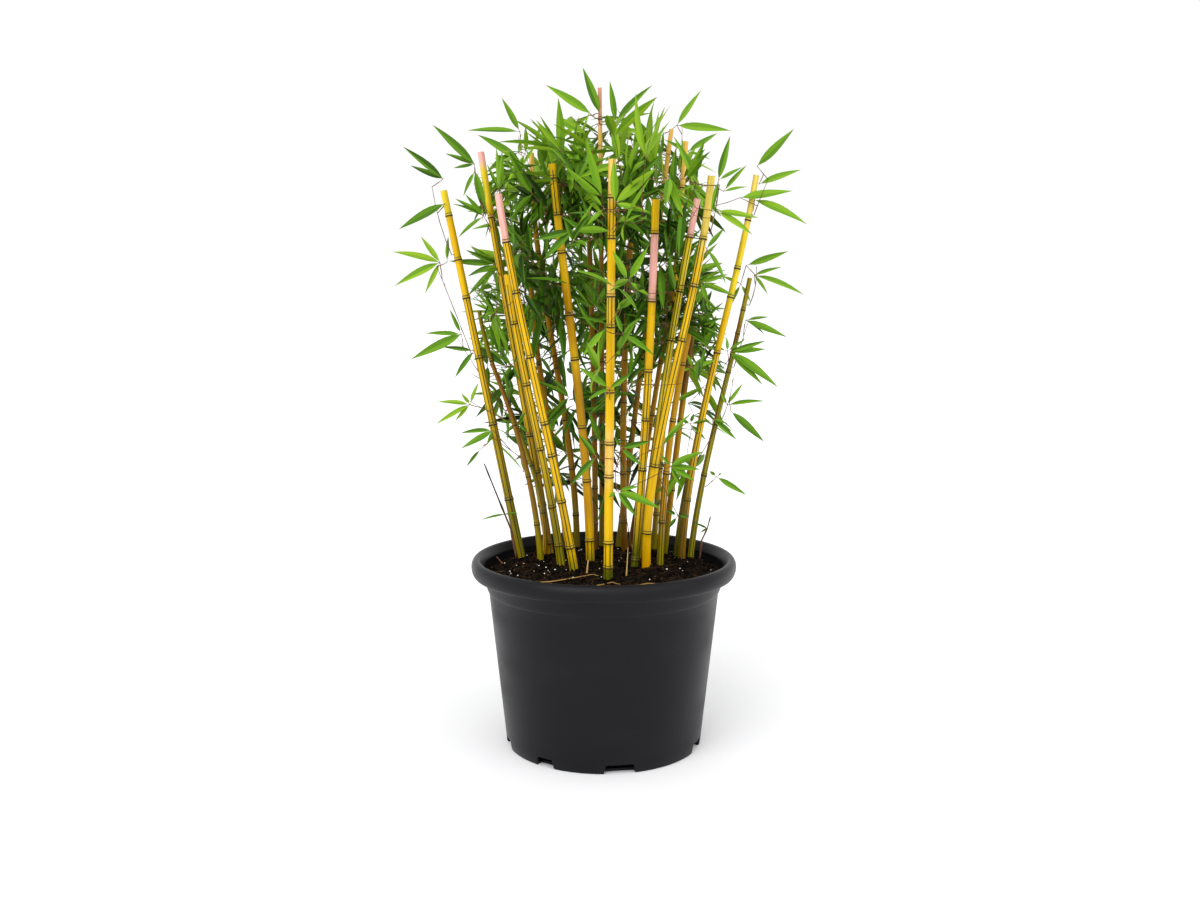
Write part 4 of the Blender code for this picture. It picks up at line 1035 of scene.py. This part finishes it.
# fans of leaves that stand out, by mass: each hub, and each tip right and up of it
FANS = {
    "top": (
        ((-5, 176, 801), ((-23, 61),)),
        ((-17, 172, 800), ((-61, 38), (-47, -39))),
        ((16, 164, 787), ((-8, 54), (50, 50), (50, 12), (40, -22))),
        ((-5, 150, 727), ((-36, 66), (-53, -5))),
        ((43, 150, 732), ((-37, 49), (0, 49))),
    ),
    "top_mid": (
        ((76, 130, 740), ((-35, 51), (2, 32), (-29, -26))),
        ((24, 120, 746), ((-29, 5), (16, -51), (43, -23))),
    ),
    "top_right": (
        ((98, 172, 785), ((33, 47), (72, -8))),
        ((112, 160, 749), ((40, 25), (-32, 16), (32, -10))),
    ),
    "right_top": (
        ((110, -38, 689), ((-29, 55), (-30, -14))),
        ((134, -38, 693), ((13, 51), (28, 15), (-9, -39))),
        ((141, -30, 681), ((28, 31), (29, 5))),
        ((134, -20, 659), ((51, -8), (44, -28))),
        ((123, -20, 615), ((22, 25), (23, -43))),
    ),
    "far_right_top": (
        ((192, 62, 720), ((45, 45),)),
        ((195, 66, 698), ((52, 17),)),
        ((170, 50, 680), ((67, 9),)),
        ((189, 55, 678), ((66, -31),)),
    ),
    "top_left": (
        ((-112, 172, 777), ((-24, 44), (-70, 1))),
        ((-109, 168, 736), ((-60, 37), (-37, 10), (-43, -8))),
        ((-90, 150, 756), ((7, 27), (26, 8), (-21, -32))),
    ),
    "left_top": (
        ((-166, 104, 727), ((-54, 50), (-38, 13), (-28, -5))),
        ((-165, 96, 718), ((13, -59), (-15, -33))),
        ((-136, 110, 695), ((12, 23), (-14, 32))),
        ((-115, 120, 724), ((-26, 18), (-32, 3), (-20, -27), (29, 4), (-8, -45))),
    ),
    "far_left_top": (
        ((-201, 60, 704), ((-49, 39), (-42, 17))),
        ((-199, 60, 674), ((-58, -33),)),
        ((-153, 84, 660), ((-41, 15), (-33, -28), (-37, 22), (-23, 27))),
    ),
    "left_upper": (
        ((-208, 68, 601), ((-59, 13), (-57, -30), (-25, 33), (-19, -39))),
        ((-199, 68, 601), ((2, 33),)),
        ((-139, 78, 599), ((-37, 18), (-60, 4), (-36, -16))),
    ),
    "left_mid": (
        ((-182, 66, 510), ((-47, 1), (-65, -32), (-14, 32))),
        ((-166, 66, 489), ((-42, 5), (-26, -35))),
        ((-138, 74, 538), ((-29, 11), (-8, -33), (7, -20), (-24, -8))),
        ((-117, 60, 472), ((-23, 15), (-16, -26), (15, 15), (11, -23))),
    ),
    "left_low": (
        ((-171, 56, 421), ((-43, 3), (-45, -26), (-20, -22), (-11, 15), (11, 28))),
        ((-109, 46, 399), ((-27, 0), (-19, 13), (-18, -15), (10, 13), (13, -13))),
    ),
    "left_foot": (
        ((-140, 36, 390), ((-43, -5), (-41, -23), (-8, -19))),
        ((-156, 36, 366), ((-18, -22),)),
    ),
    "inner_right": (
        ((119, 10, 575), ((34, 10), (40, -16), (10, -34))),
        ((119, 12, 522), ((28, 29), (27, 10), (24, -12))),
        ((111, 20, 470), ((14, 14), (-9, 19), (31, 10), (11, -20), (-24, -5))),
    ),
    "right_upper": (
        ((181, 68, 597), ((54, 18),)),
        ((191, 66, 585), ((35, 10), (64, -25), (19, -25))),
        ((175, 72, 574), ((12, -23), (-24, 10), (-16, -32))),
    ),
    "right_mid": (
        ((182, 72, 528), ((28, 4), (53, -22), (25, -19))),
    ),
    "right_low": (
        ((161, 60, 488), ((46, 14), (47, 3), (43, -43), (63, -46))),
        ((158, 60, 489), ((-2, 18), (23, 15), (-26, 6))),
        ((158, 60, 420), ((21, 28), (49, 5), (-9, 17))),
        ((163, 58, 412), ((44, -40),)),
    ),
    "right_foot": (
        ((139, 52, 403), ((31, -27), (19, -6), (26, -17))),
        ((110, 46, 397), ((21, -22), (5, 13), (25, 5), (-11, 5))),
        ((145, 52, 328), ((40, -25), (-8, 6), (6, 5))),
    ),
    "front_foot": (
        ((79, -56, 357), ((40, 18), (36, -4), (30, -18), (15, -28), (-11, 13))),
        ((89, -56, 297), ((14, -2), (-12, -16), (-14, 6))),
    ),
    "front_low": (
        ((15, -98, 334), ((23, -32), (51, -21), (27, 4), (-10, -7))),
        ((19, -98, 384), ((35, 9), (25, -20), (-7, 14))),
        ((-9, -92, 373), ((-30, -34), (-9, 13), (-22, 27))),
    ),
    "front_mid": (
        ((21, -116, 516), ((37, -26), (20, 18), (-9, 25))),
        ((0, -118, 521), ((-25, -31),)),
        ((6, -112, 454), ((-36, 25), (-26, -14), (26, 18))),
    ),
    "front_upper": (
        ((27, -118, 575), ((-18, 34), (22, 38), (25, -17), (-22, -12))),
        ((-12, -104, 622), ((-37, 25), (-12, 41), (-33, -10))),
        ((-36, -100, 631), ((-33, -32), (-43, -10))),
    ),
    "front_top": (
        ((12, -126, 660), ((-2, 47), (46, 39), (39, -11))),
        ((0, -118, 655), ((-27, 24), (-20, -20))),
    ),
}

BARE_FROM = 240
SIGHT_STEPS = 24               # stretches that a cane in sight is followed in
SIGHT_MARGIN = 1.2             # beside it
# canes that stay in sight from the front, above a height
IN_SIGHT = {f"cane_{k:02}": BARE_FROM for k in (1, 2, 3, 4, 7, 10, 12, 13, 14, 15, 16)}
IN_SIGHT |= {"cane_08": 722, "cane_11": 735, "cane_21": 710, "cane_23": 690}
# canes further back that show here and there
GLIMPSED = {f"cane_{k:02}": BARE_FROM for k in (5, 6, 8, 9, 18, 19, 20, 22, 24)}
# the crown's full part as seen from the front, at its axis: height, left edge, right edge
CROWN_OUTLINE = ((257, -66, 104), (302, -102, 118), (366, -134, 132), (429, -148, 142),
                 (492, -154, 138), (554, -148, 128), (615, -146, 126), (669, -147, 128),
                 (695, -139, 118), (718, -127, 112), (741, -102, 97), (759, -78, 83),
                 (773, -35, 62))


def segment_gap(points, starts, ends):
    """Distance from each point to each segment: points (n, 3) -> (n, segments)."""
    along = ends - starts
    rel = points[:, None, :] - starts[None]
    t = np.clip((rel * along).sum(-1) / (along * along).sum(-1), 0, 1)
    return np.linalg.norm(rel - t[..., None] * along, axis=-1)


def polyline_segments(lines):
    """All segments of some lines: their starts, their ends and the number of their line."""
    starts = np.array([p for line in lines for p in line[:-1]], dtype=float)
    ends = np.array([p for line in lines for p in line[1:]], dtype=float)
    owner = np.array([k for k, line in enumerate(lines) for _ in line[1:]])
    return starts, ends, owner


def picture(points):
    """Where points show in the picture: (n, 3) -> (n, 2) pixels, and their depths."""
    x, y, z = (points - np.array(EYE)).T
    depth = y * math.cos(PITCH) - z * math.sin(PITCH)
    up = y * math.sin(PITCH) + z * math.cos(PITCH)
    return np.stack((CENTRE_PX[0] + FOCAL * x / depth,
                     CENTRE_PX[1] - FOCAL * up / depth), axis=1), depth


class Space:
    """Where canes, shoots and the masses' leaders are, and what lies clear of them."""

    def __init__(self):
        lines = [spec.samples for spec in CANES.values()]
        radii = [max(spec.dia) / 2 * NODE_SWELL for spec in CANES.values()]
        for points, ends in SHOOTS.values():
            lines.append([Vector(p) for p in points])
            radii.append(max(ends))
        self.limb = polyline_segments(lines)
        self.limb_r = np.array(radii)[self.limb[2]]
        self.shown = []
        for name, low in list(IN_SIGHT.items()) + list(GLIMPSED.items()):
            cane = CANES[name]
            start = cane.at(low)
            line = [cane.axis(start + (1 - start) * k / SIGHT_STEPS) for k in range(SIGHT_STEPS + 1)]
            where, depth = picture(np.array(line))
            wide = FOCAL * (cane.dia[0] / 2 + SIGHT_MARGIN) / depth
            self.shown.append((where, depth, wide))
        edges = [[(row[side], CLUMP_Y, row[0]) for row in reversed(CROWN_OUTLINE)]
                 for side in (1, 2)]
        self.outline = [picture(np.array(edge, dtype=float))[0] for edge in edges]

    def set_leaders(self, leaders):
        """Take in the leaders, once all have grown."""
        self.names = list(leaders)
        self.spine = polyline_segments(list(leaders.values()))

    def limb_gap(self, points):
        """Distance from each point to the nearest cane's or shoot's surface."""
        gaps = segment_gap(points, self.limb[0], self.limb[1]) - self.limb_r
        return gaps.min(axis=1)

    def hides_cane(self, points, glimpsed=False):
        """True for each point that stands before a cane in sight, or, if asked, before one
        that is glimpsed."""
        where, depth = picture(points)
        hides = np.zeros(len(points), dtype=bool)
        for line, line_depth, width in self.shown[:None if glimpsed else len(IN_SIGHT)]:
            x = np.interp(where[:, 1], line[::-1, 1], line[::-1, 0])
            far = np.interp(where[:, 1], line[::-1, 1], line_depth[::-1])
            wide = np.interp(where[:, 1], line[::-1, 1], width[::-1])
            level = (where[:, 1] > line[-1, 1] - 2) & (where[:, 1] < line[0, 1])
            hides |= level & (depth < far + 3) & (abs(where[:, 0] - x) < wide)
        return hides

    def in_outline(self, points):
        """True for each point that shows within the crown's outline."""
        where, _ = picture(points)
        left, right = (np.interp(where[:, 1], edge[:, 1], edge[:, 0]) for edge in self.outline)
        level = (where[:, 1] > self.outline[0][0, 1]) & (where[:, 1] < self.outline[0][-1, 1])
        return level & (where[:, 0] > left) & (where[:, 0] < right)


class Cell:
    """One mass's own space, with only the limbs and leaders that lie near it."""

    def __init__(self, name, space):
        own = space.spine[2] == space.names.index(name)
        self.own = (space.spine[0][own], space.spine[1][own])
        middle = self.own[1].mean(axis=0)[None]
        near = segment_gap(middle, space.spine[0], space.spine[1])[0] < NEAR_LEADERS
        others = near & ~own
        self.others = (space.spine[0][others], space.spine[1][others])
        limbs = segment_gap(middle, space.limb[0], space.limb[1])[0] < NEAR_LIMBS
        self.limb = (space.limb[0][limbs], space.limb[1][limbs])
        self.limb_r = space.limb_r[limbs]
        self.space = space

    def off_limbs(self, points, clear):
        """True for each point that keeps clear of the canes and shoots."""
        return (segment_gap(points, *self.limb) - self.limb_r).min(axis=1) > clear

    def in_crown(self, points):
        """True for each point in the space that all foliage keeps to."""
        radius = np.interp(points[:, 2], [c[0] for c in CROWN], [c[1] for c in CROWN])
        r = np.hypot(points[:, 0], points[:, 1] - CLUMP_Y)
        return (r < radius) & (points[:, 2] > CROWN[0][0]) & (points[:, 2] < CROWN[-1][0])

    def fits(self, points, clear=LIMB_CLEAR, margin=OWN_MARGIN):
        """True for each point in this mass's own space, in the crown and off the limbs."""
        near = segment_gap(points, *self.own).min(axis=1)
        own = segment_gap(points, *self.others).min(axis=1) - near > margin
        return own & self.in_crown(points) & self.off_limbs(points, clear)


def bent_line(start, control, end, steps):
    """Points of a quadratic curve."""
    points = []
    for k in range(steps + 1):
        t = k / steps
        points.append(start * (1 - t) ** 2 + control * (2 * t * (1 - t)) + end * t ** 2)
    return points


def grow_leader(item, space, rng):
    """The twig from 0.3 mm off its cane to the end point, bent clear of the limbs."""
    node = min(item.cane.nodes, key=lambda z: abs(z - item.height))
    t = item.cane.at(node + LEADER_RISE)
    centre = item.cane.centre(t)
    along = (item.cane.centre(t + 0.01) - centre).normalized()
    away = item.end - centre
    away = (away - along * away.dot(along)).normalized()
    start = centre + away * (item.cane.radius(t) + GAP)
    lift = start + away * LEADER_R * 2
    for attempt in range(LEADER_TRIES):
        spread = 2 + attempt * 0.15
        control = lift.lerp(item.end, 0.5) + Vector(rng.gauss(0, spread) for _ in range(3))
        line = [start] + bent_line(lift, control, item.end, 4)
        fine = [a.lerp(b, f) for a, b in zip(line[1:-1], line[2:]) for f in (0.33, 0.66, 1)]
        if (space.limb_gap(np.array(fine, dtype=float)) > LEADER_R + LIMB_CLEAR).all():
            return line
    raise ValueError("no clear way for a leader")


def blade_frame(root, tip, normal):
    """A leaf's length and unit vectors across it and square to it."""
    along = (tip - root).normalized()
    side = normal.cross(along).normalized()
    return (tip - root).length, side, along.cross(side)


def blade_samples(root, tip, normal):
    """Points that stand for a leaf when it is tested."""
    length, side, _ = blade_frame(root, tip, normal)
    half = side * (length * SPRAY_WIDTH * 0.5)
    points = [root.lerp(tip, f) for f in (0.2, 0.4, 0.6, 0.8, 1.0)]
    points += [root.lerp(tip, 0.35) + half, root.lerp(tip, 0.35) - half]
    points += [root.lerp(tip, 0.65) + half * 0.7, root.lerp(tip, 0.65) - half * 0.7]
    return points


def add_blade(shape, root, tip, normal, tone, share_wide, rng):
    """One leaf: a folded, arched blade, the two sides of its fold a tone or two apart as painted
    light and shade.
    """
    length, side, up = blade_frame(root, tip, normal)
    width = max(length * share_wide * rng.uniform(0.9, 1.1) / 2, LEAST_HALF_WIDTH)
    arch = rng.uniform(*BLADE_ARCH) * length
    twist = rng.uniform(-BLADE_TWIST, BLADE_TWIST)
    fold = BLADE_FOLD * rng.uniform(0.6, 1.4)
    # painted light and shade: one side of the fold a tone or two deeper than the other
    lit_and_shaded_halves = [f"leaf_{tone}", f"leaf_{min(tone + rng.randint(1, 2), DEEPEST)}"]
    rng.shuffle(lit_and_shaded_halves)
    first = len(shape.verts)
    for t, share in BLADE:
        centre = root.lerp(tip, t) + up * (arch * 4 * t * (1 - t))
        turn = twist * (t - 0.3)
        across = side * math.cos(turn) + up * math.sin(turn)
        lift = (up * math.cos(turn) - side * math.sin(turn)) * (fold * width * share)
        shape.verts += [centre - across * (width * share) + lift, centre,
                        centre + across * (width * share) + lift]
    shape.verts.append(tip)
    last = len(BLADE) - 1
    for k in range(last):
        a = first + 3 * k
        shape.face((a, a + 1, a + 4, a + 3), lit_and_shaded_halves[0])
        shape.face((a + 1, a + 2, a + 5, a + 4), lit_and_shaded_halves[1])
    a = first + 3 * last
    shape.face((a, a + 1, a + 3), "tip")
    shape.face((a + 1, a + 2, a + 3), "tip")


class Growth:
    """The twigs and leaves of one mass."""

    def __init__(self, name, item, leader, space):
        self.name = name
        self.item = item
        self.leader = leader
        self.space = space
        self.cell = Cell(name, space)
        self.rng = random.Random("leaves of " + name)
        self.leaves = Shape(*[f"leaf_{k}" for k in range(len(LEAF_GREENS))], "tip")
        self.twigs = Shape("twig", "sheath")
        self.joints = []
        self.axes = []

    def jitter(self, size):
        """A random step."""
        return Vector(self.rng.gauss(0, size) for _ in range(3))

    def tone(self, hub, stands_out):
        """The green of a spray, partly its own and partly painted light and shade: fresher outside,
        high up and low in front, deeper inside where shade falls.
        """
        r = math.hypot(hub.x, hub.y - CLUMP_Y)
        # painted shade and light: deeper towards the clump's middle, lighter outside, on top and low
        # in front
        fresh_and_lit = eased(r, *OUTWARD) * 0.6 + eased(hub.z, *UPWARD) * 0.18
        fresh_and_lit += eased(hub.z, *TOP_PAINTED_LIGHT) * 0.8
        fresh_and_lit += (1 - eased(hub.z, *FEET_FADE)) * (1 - eased(hub.y, *BACKWARD)) * 0.5
        if stands_out:
            fresh_and_lit = FAN_FRESHNESS + eased(hub.z, *FANS_LIGHTEN_UP) * 0.08
        shade = (1.0 - min(1.0, fresh_and_lit)) * TONE_STEPS + self.rng.gauss(0, TONE_SPREAD)
        return int(min(DEEPEST, max(0, round(shade))))

    def add_twig(self, line, thick, thin):
        """A twig with small knuckles and a straw sheath at some of them."""
        fine = []
        for a, b in zip(line[:-1], line[1:]):
            fine += finer([a, b], max(1, round((b - a).length / KNUCKLE_STEP)))
        fine.append(line[-1])
        last = len(fine) - 1
        radii = []
        for k in range(last + 1):
            radius = thick + (thin - thick) * k / last
            radii.append(radius * (KNUCKLE_SWELL if k % 3 == 2 else 1.0))
        self.twigs.tube(fine, radii, 5, "twig")
        for k in range(2, last, 3):
            if self.rng.random() < SHEATHED:
                self.add_sheath(fine[k], (fine[k + 1] - fine[k]).normalized(), radii[k])
        self.joints += fine

    def add_sheath(self, point, along, radius):
        """A dry papery sheath that stands a little off its twig."""
        way = (along + self.jitter(0.22)).normalized()
        length = self.rng.uniform(*SHEATH_LENGTH)
        points = [point, point + way * length * 0.5, point + way * length]
        self.twigs.tube(points, [radius * 0.9, radius * 1.1, 0.15], 4, "sheath")

    def twig_to(self, end, least):
        """A bent way to a point from a twig near it, clear of limbs, or None: the one that
        is shortest and hides least of the canes in sight."""
        gaps = [((spot - end).length, k) for k, spot in enumerate(self.joints)]
        near = sorted(gap for gap in gaps if gap[0] >= least)
        best = None
        least_cost = WORST_TWIG
        for length, k in near[NEAREST_JOINTS]:
            start = self.joints[k]
            middle = start.lerp(end, 0.5) + self.jitter(length * 0.06)
            middle.z -= length * 0.08
            line = bent_line(start, middle, end, 4)
            spots = np.array(line[1:], dtype=float)
            cost = self.space.hides_cane(spots).sum() + length / HIDING_LENGTH
            if cost < least_cost and self.cell.off_limbs(spots, LIMB_CLEAR).all():
                best, least_cost = line, cost
        return best

    def twig_off_cane(self, end):
        """A way to a point from the skin of the nearest cane, a little lower down."""
        spots = []
        for cane in CANES.values():
            t = cane.at(end.z - CANE_TWIG_RISE)
            if 0 < t < 1:
                spots.append(((cane.centre(t) - end).length, t, cane))
        _, t, cane = min(spots, key=lambda spot: spot[0])
        centre = cane.centre(t)
        away = Vector((end.x - centre.x, end.y - centre.y, 0)).normalized()
        start = centre + away * (cane.radius(t) + GAP)
        return bent_line(start, start.lerp(end, 0.5) - Vector((0, 0, 2)), end, 4)

    def add_leaf(self, hub, root, tip, normal, tone, share_wide):
        """A leaf and its stalk."""
        self.twigs.tube([hub, root.lerp(tip, 0.03)], LEAF_STALK, 4, "sheath")
        add_blade(self.leaves, root, tip, normal, tone, share_wide, self.rng)
        self.axes.append((root.lerp(tip, 0.2), tip))

    def fan(self, hub, tips):
        """A stated fan: its twig, and a leaf to each tip.  A way much longer than the one
        from the nearest cane isn't taken."""
        hub = Vector(hub)
        line = self.twig_to(hub, FAN_TWIG_LEAST)
        direct = self.twig_off_cane(hub)
        if not line or (line[0] - hub).length > 2 * (direct[0] - hub).length:
            line = direct
        self.add_twig(line, *FAN_TWIG)
        tone = self.tone(hub, True)
        share_wide = FRONT_FAN_WIDTH if self.name.startswith("front") else FAN_WIDTH
        for dx, dz in tips:
            tip = hub + Vector((dx, self.rng.uniform(-9, 9), dz))
            root = hub + (tip - hub).normalized() * self.rng.uniform(1.5, 4.0)
            normal = Vector((0, -1, 0.45)) + self.jitter(0.22)
            self.add_leaf(hub, root, tip, normal, tone, share_wide)

    def spray_ways(self, end, before, count):
        """The normal of a spray's plane, and the way and length of each of its leaves."""
        away = Vector((end.x, end.y - CLUMP_Y, 0)).normalized()
        axis = (end - before).normalized() + away * 0.5 + Vector((0, 0, 0.1))
        axis = (axis + self.jitter(0.35)).normalized()
        side, up = frame_of(axis)
        roll = self.rng.uniform(-0.8, 0.8)
        flat = side * math.cos(roll) + up * math.sin(roll)
        lift = up * math.cos(roll) - side * math.sin(roll)
        ways = []
        for k in range(count):
            angle = (k - (count - 1) / 2) * math.radians(SPRAY_OPENING / count)
            angle += self.rng.uniform(-0.15, 0.15)
            way = axis * math.cos(angle) + flat * math.sin(angle)
            way += lift * self.rng.uniform(-0.5, 0.25)
            longer = 1 + 0.1 * eased(end.z, *LEAVES_LENGTHEN)
            ways.append((way.normalized(), self.rng.uniform(*LEAF_LENGTH) * longer))
        return lift, ways

    def spray_leaves(self, hub, before, count):
        """The leaves of a spray that keep clear: (root, tip, normal) of each."""
        lift, ways = self.spray_ways(hub, before, count)
        tries = []
        for k, (way, length) in enumerate(ways):
            for turn in range(LEAF_TRIES):
                bent = (way + self.jitter(0.13 * turn)).normalized()
                root = hub + bent * 2.5
                tip = root + bent * length - Vector((0, 0, length * 0.06))
                tries.append((k, root, tip, lift + self.jitter(0.25)))
                length *= 0.94
        points = np.array([p for _, root, tip, normal in tries
                           for p in blade_samples(root, tip, normal)], dtype=float)
        good = self.cell.fits(points)
        each = len(points) // len(tries)
        good &= ~self.space.hides_cane(points, glimpsed=self.rng.random() > PASS_GLIMPSED)
        inner = np.tile(np.arange(each) < 2, len(tries))
        good &= self.space.in_outline(points) | ~inner
        good = good.reshape(-1, each).all(axis=1) & self.uncrowded(points.reshape(-1, each, 3))
        kept = {}
        for (k, root, tip, normal), clear in zip(tries, good):
            if clear:
                kept.setdefault(k, (root, tip, normal))
        return list(kept.values())

    def uncrowded(self, blades):
        """True for each blade whose outer part keeps off the leaves already there."""
        if not self.axes:
            return np.ones(len(blades), dtype=bool)
        starts, ends = np.array(self.axes, dtype=float).transpose(1, 0, 2)
        outer = blades[:, 1:5].reshape(-1, 3)
        gaps = segment_gap(outer, starts, ends).min(axis=1).reshape(-1, 4)
        return gaps.min(axis=1) > LEAF_APART

    def hub_points(self):
        """Seeded places for sprays round the leader, spaced out, the nearest first."""
        rng = np.random.default_rng(self.rng.getrandbits(32))
        line = np.array(self.leader, dtype=float)
        k = rng.integers(0, len(line) - 1, HUB_DRAWS)
        f = rng.random((HUB_DRAWS, 1))
        start = line[k] * (1 - f) + line[k + 1] * f
        way = rng.normal(size=(HUB_DRAWS, 3))
        way /= np.linalg.norm(way, axis=1)[:, None]
        reach = TWIG_REACH[0] + (TWIG_REACH[1] - TWIG_REACH[0]) * rng.random((HUB_DRAWS, 1))
        points = start + way * reach
        good = self.cell.fits(points, HUB_CLEAR, HUB_MARGIN)
        points = points[good & self.space.in_outline(points)]
        kept = []
        for point in points:
            if len(kept) == self.item.sprays:
                break
            thin_out = HUBS_THIN_OUT[0] * (1 - eased(point[2], *SPRAYS_CLOSE_UP))
            thin_out += HUBS_THIN_OUT[1] * eased(point[2], *SPRAYS_PART)
            apart = HUB_APART * (1 + thin_out)
            if not kept or np.linalg.norm(np.array(kept) - point, axis=1).min() > apart:
                kept.append(point)
        away = segment_gap(np.array(kept), *self.cell.own).min(axis=1) if kept else []
        return [Vector(kept[i]) for i in np.argsort(away)]

    def grow(self):
        """The leader's own twig, the stated fans and then the seeded sprays."""
        self.add_twig(self.leader, *LEADER_TWIG)
        for hub, tips in FANS.get(self.name, ()):
            self.fan(hub, tips)
        for hub in self.hub_points():
            line = self.twig_to(hub, SPRAY_TWIG_LEAST)
            if not line:
                continue
            made = self.spray_leaves(hub, line[-2], self.rng.randint(*SPRAY_LEAVES))
            if len(made) < 2:
                continue
            self.add_twig(line, *SPRAY_TWIG)
            tone = self.tone(hub, False)
            share_wide = SPRAY_WIDTH * (1 + 0.12 * eased(hub.z, *LEAVES_WIDEN))
            for root, tip, normal in made:
                self.add_leaf(hub, root, tip, normal, tone, share_wide)

    def build(self, materials):
        """Two pieces: the leaves, which stand in for the solid mass, and the twigs."""
        solid = "leaves_" + self.name
        self.leaves.build("foliage_" + self.name, materials, "leaf_green", (solid,))
        self.twigs.build("twigs_" + self.name, materials, "shoot_brown")


def make_foliage(materials):
    """All leaders first, as they share out the space, and then each mass on its own."""
    space = Space()
    leaders = {}
    for name, item in MASSES.items():
        rng = random.Random("leader leaves_" + name)
        leaders[name] = grow_leader(item, space, rng)
    space.set_leaders(leaders)
    for name, item in MASSES.items():
        growth = Growth(name, item, leaders[name], space)
        growth.grow()
        growth.build(materials)


# --------------------------------------------------------------------- studio

FLOOR_SIZE = 30.0              # metres from its middle to each side
FLOOR_WHITE = (0.89, 0.89, 0.90, 1)
SKY_STRENGTH = 1.03


def make_stage():
    """A white floor under an even white sky."""
    mesh = bpy.data.meshes.new("studio_floor")
    sides = ((-1, -1), (1, -1), (1, 1), (-1, 1))
    mesh.from_pydata([(x * FLOOR_SIZE, y * FLOOR_SIZE, 0) for x, y in sides], [], [(0, 1, 2, 3)])
    mesh.materials.append(Paint("floor_white", FLOOR_WHITE, 0.8, Specular_IOR_Level=0.0).mat)
    floor = bpy.data.objects.new("studio_floor", mesh)
    bpy.context.scene.collection.objects.link(floor)
    world = bpy.data.worlds.new("studio")
    world.use_nodes = True
    background = world.node_tree.nodes["Background"]
    background.inputs["Color"].default_value = (1, 1, 1, 1)
    background.inputs["Strength"].default_value = SKY_STRENGTH
    bpy.context.scene.world = world


def add_soft_light(name, azimuth, elevation, spread, power):
    """A wide soft light; its direction in degrees from the front, and up."""
    data = bpy.data.lights.new(name, "SUN")
    data.angle = math.radians(spread)
    data.energy = power
    lamp = bpy.data.objects.new(name, data)
    a, e = math.radians(azimuth), math.radians(elevation)
    way = Vector((math.sin(a) * math.cos(e), -math.cos(a) * math.cos(e), math.sin(e)))
    lamp.rotation_euler = way.to_track_quat("Z", "Y").to_euler()
    bpy.context.scene.collection.objects.link(lamp)


def make_camera():
    """The photograph's view."""
    data = bpy.data.cameras.new("camera")
    data.lens = LENS
    data.sensor_width = SENSOR
    camera = bpy.data.objects.new("camera", data)
    camera.location = EYE * MM
    camera.rotation_euler = (math.pi / 2 - PITCH, 0, 0)
    bpy.context.scene.collection.objects.link(camera)
    bpy.context.scene.camera = camera
    bpy.context.scene.view_settings.view_transform = "Standard"


materials = make_materials()
make_pot(materials)
make_soil(materials)
for cane_name, cane_spec in CANES.items():
    make_cane(cane_name, cane_spec, materials)
make_shoots(materials)
make_foliage(materials)
make_stage()
add_soft_light("key", -28, 36, 50, 1.5)
add_soft_light("fill", 40, 26, 70, 0.8)
make_camera()
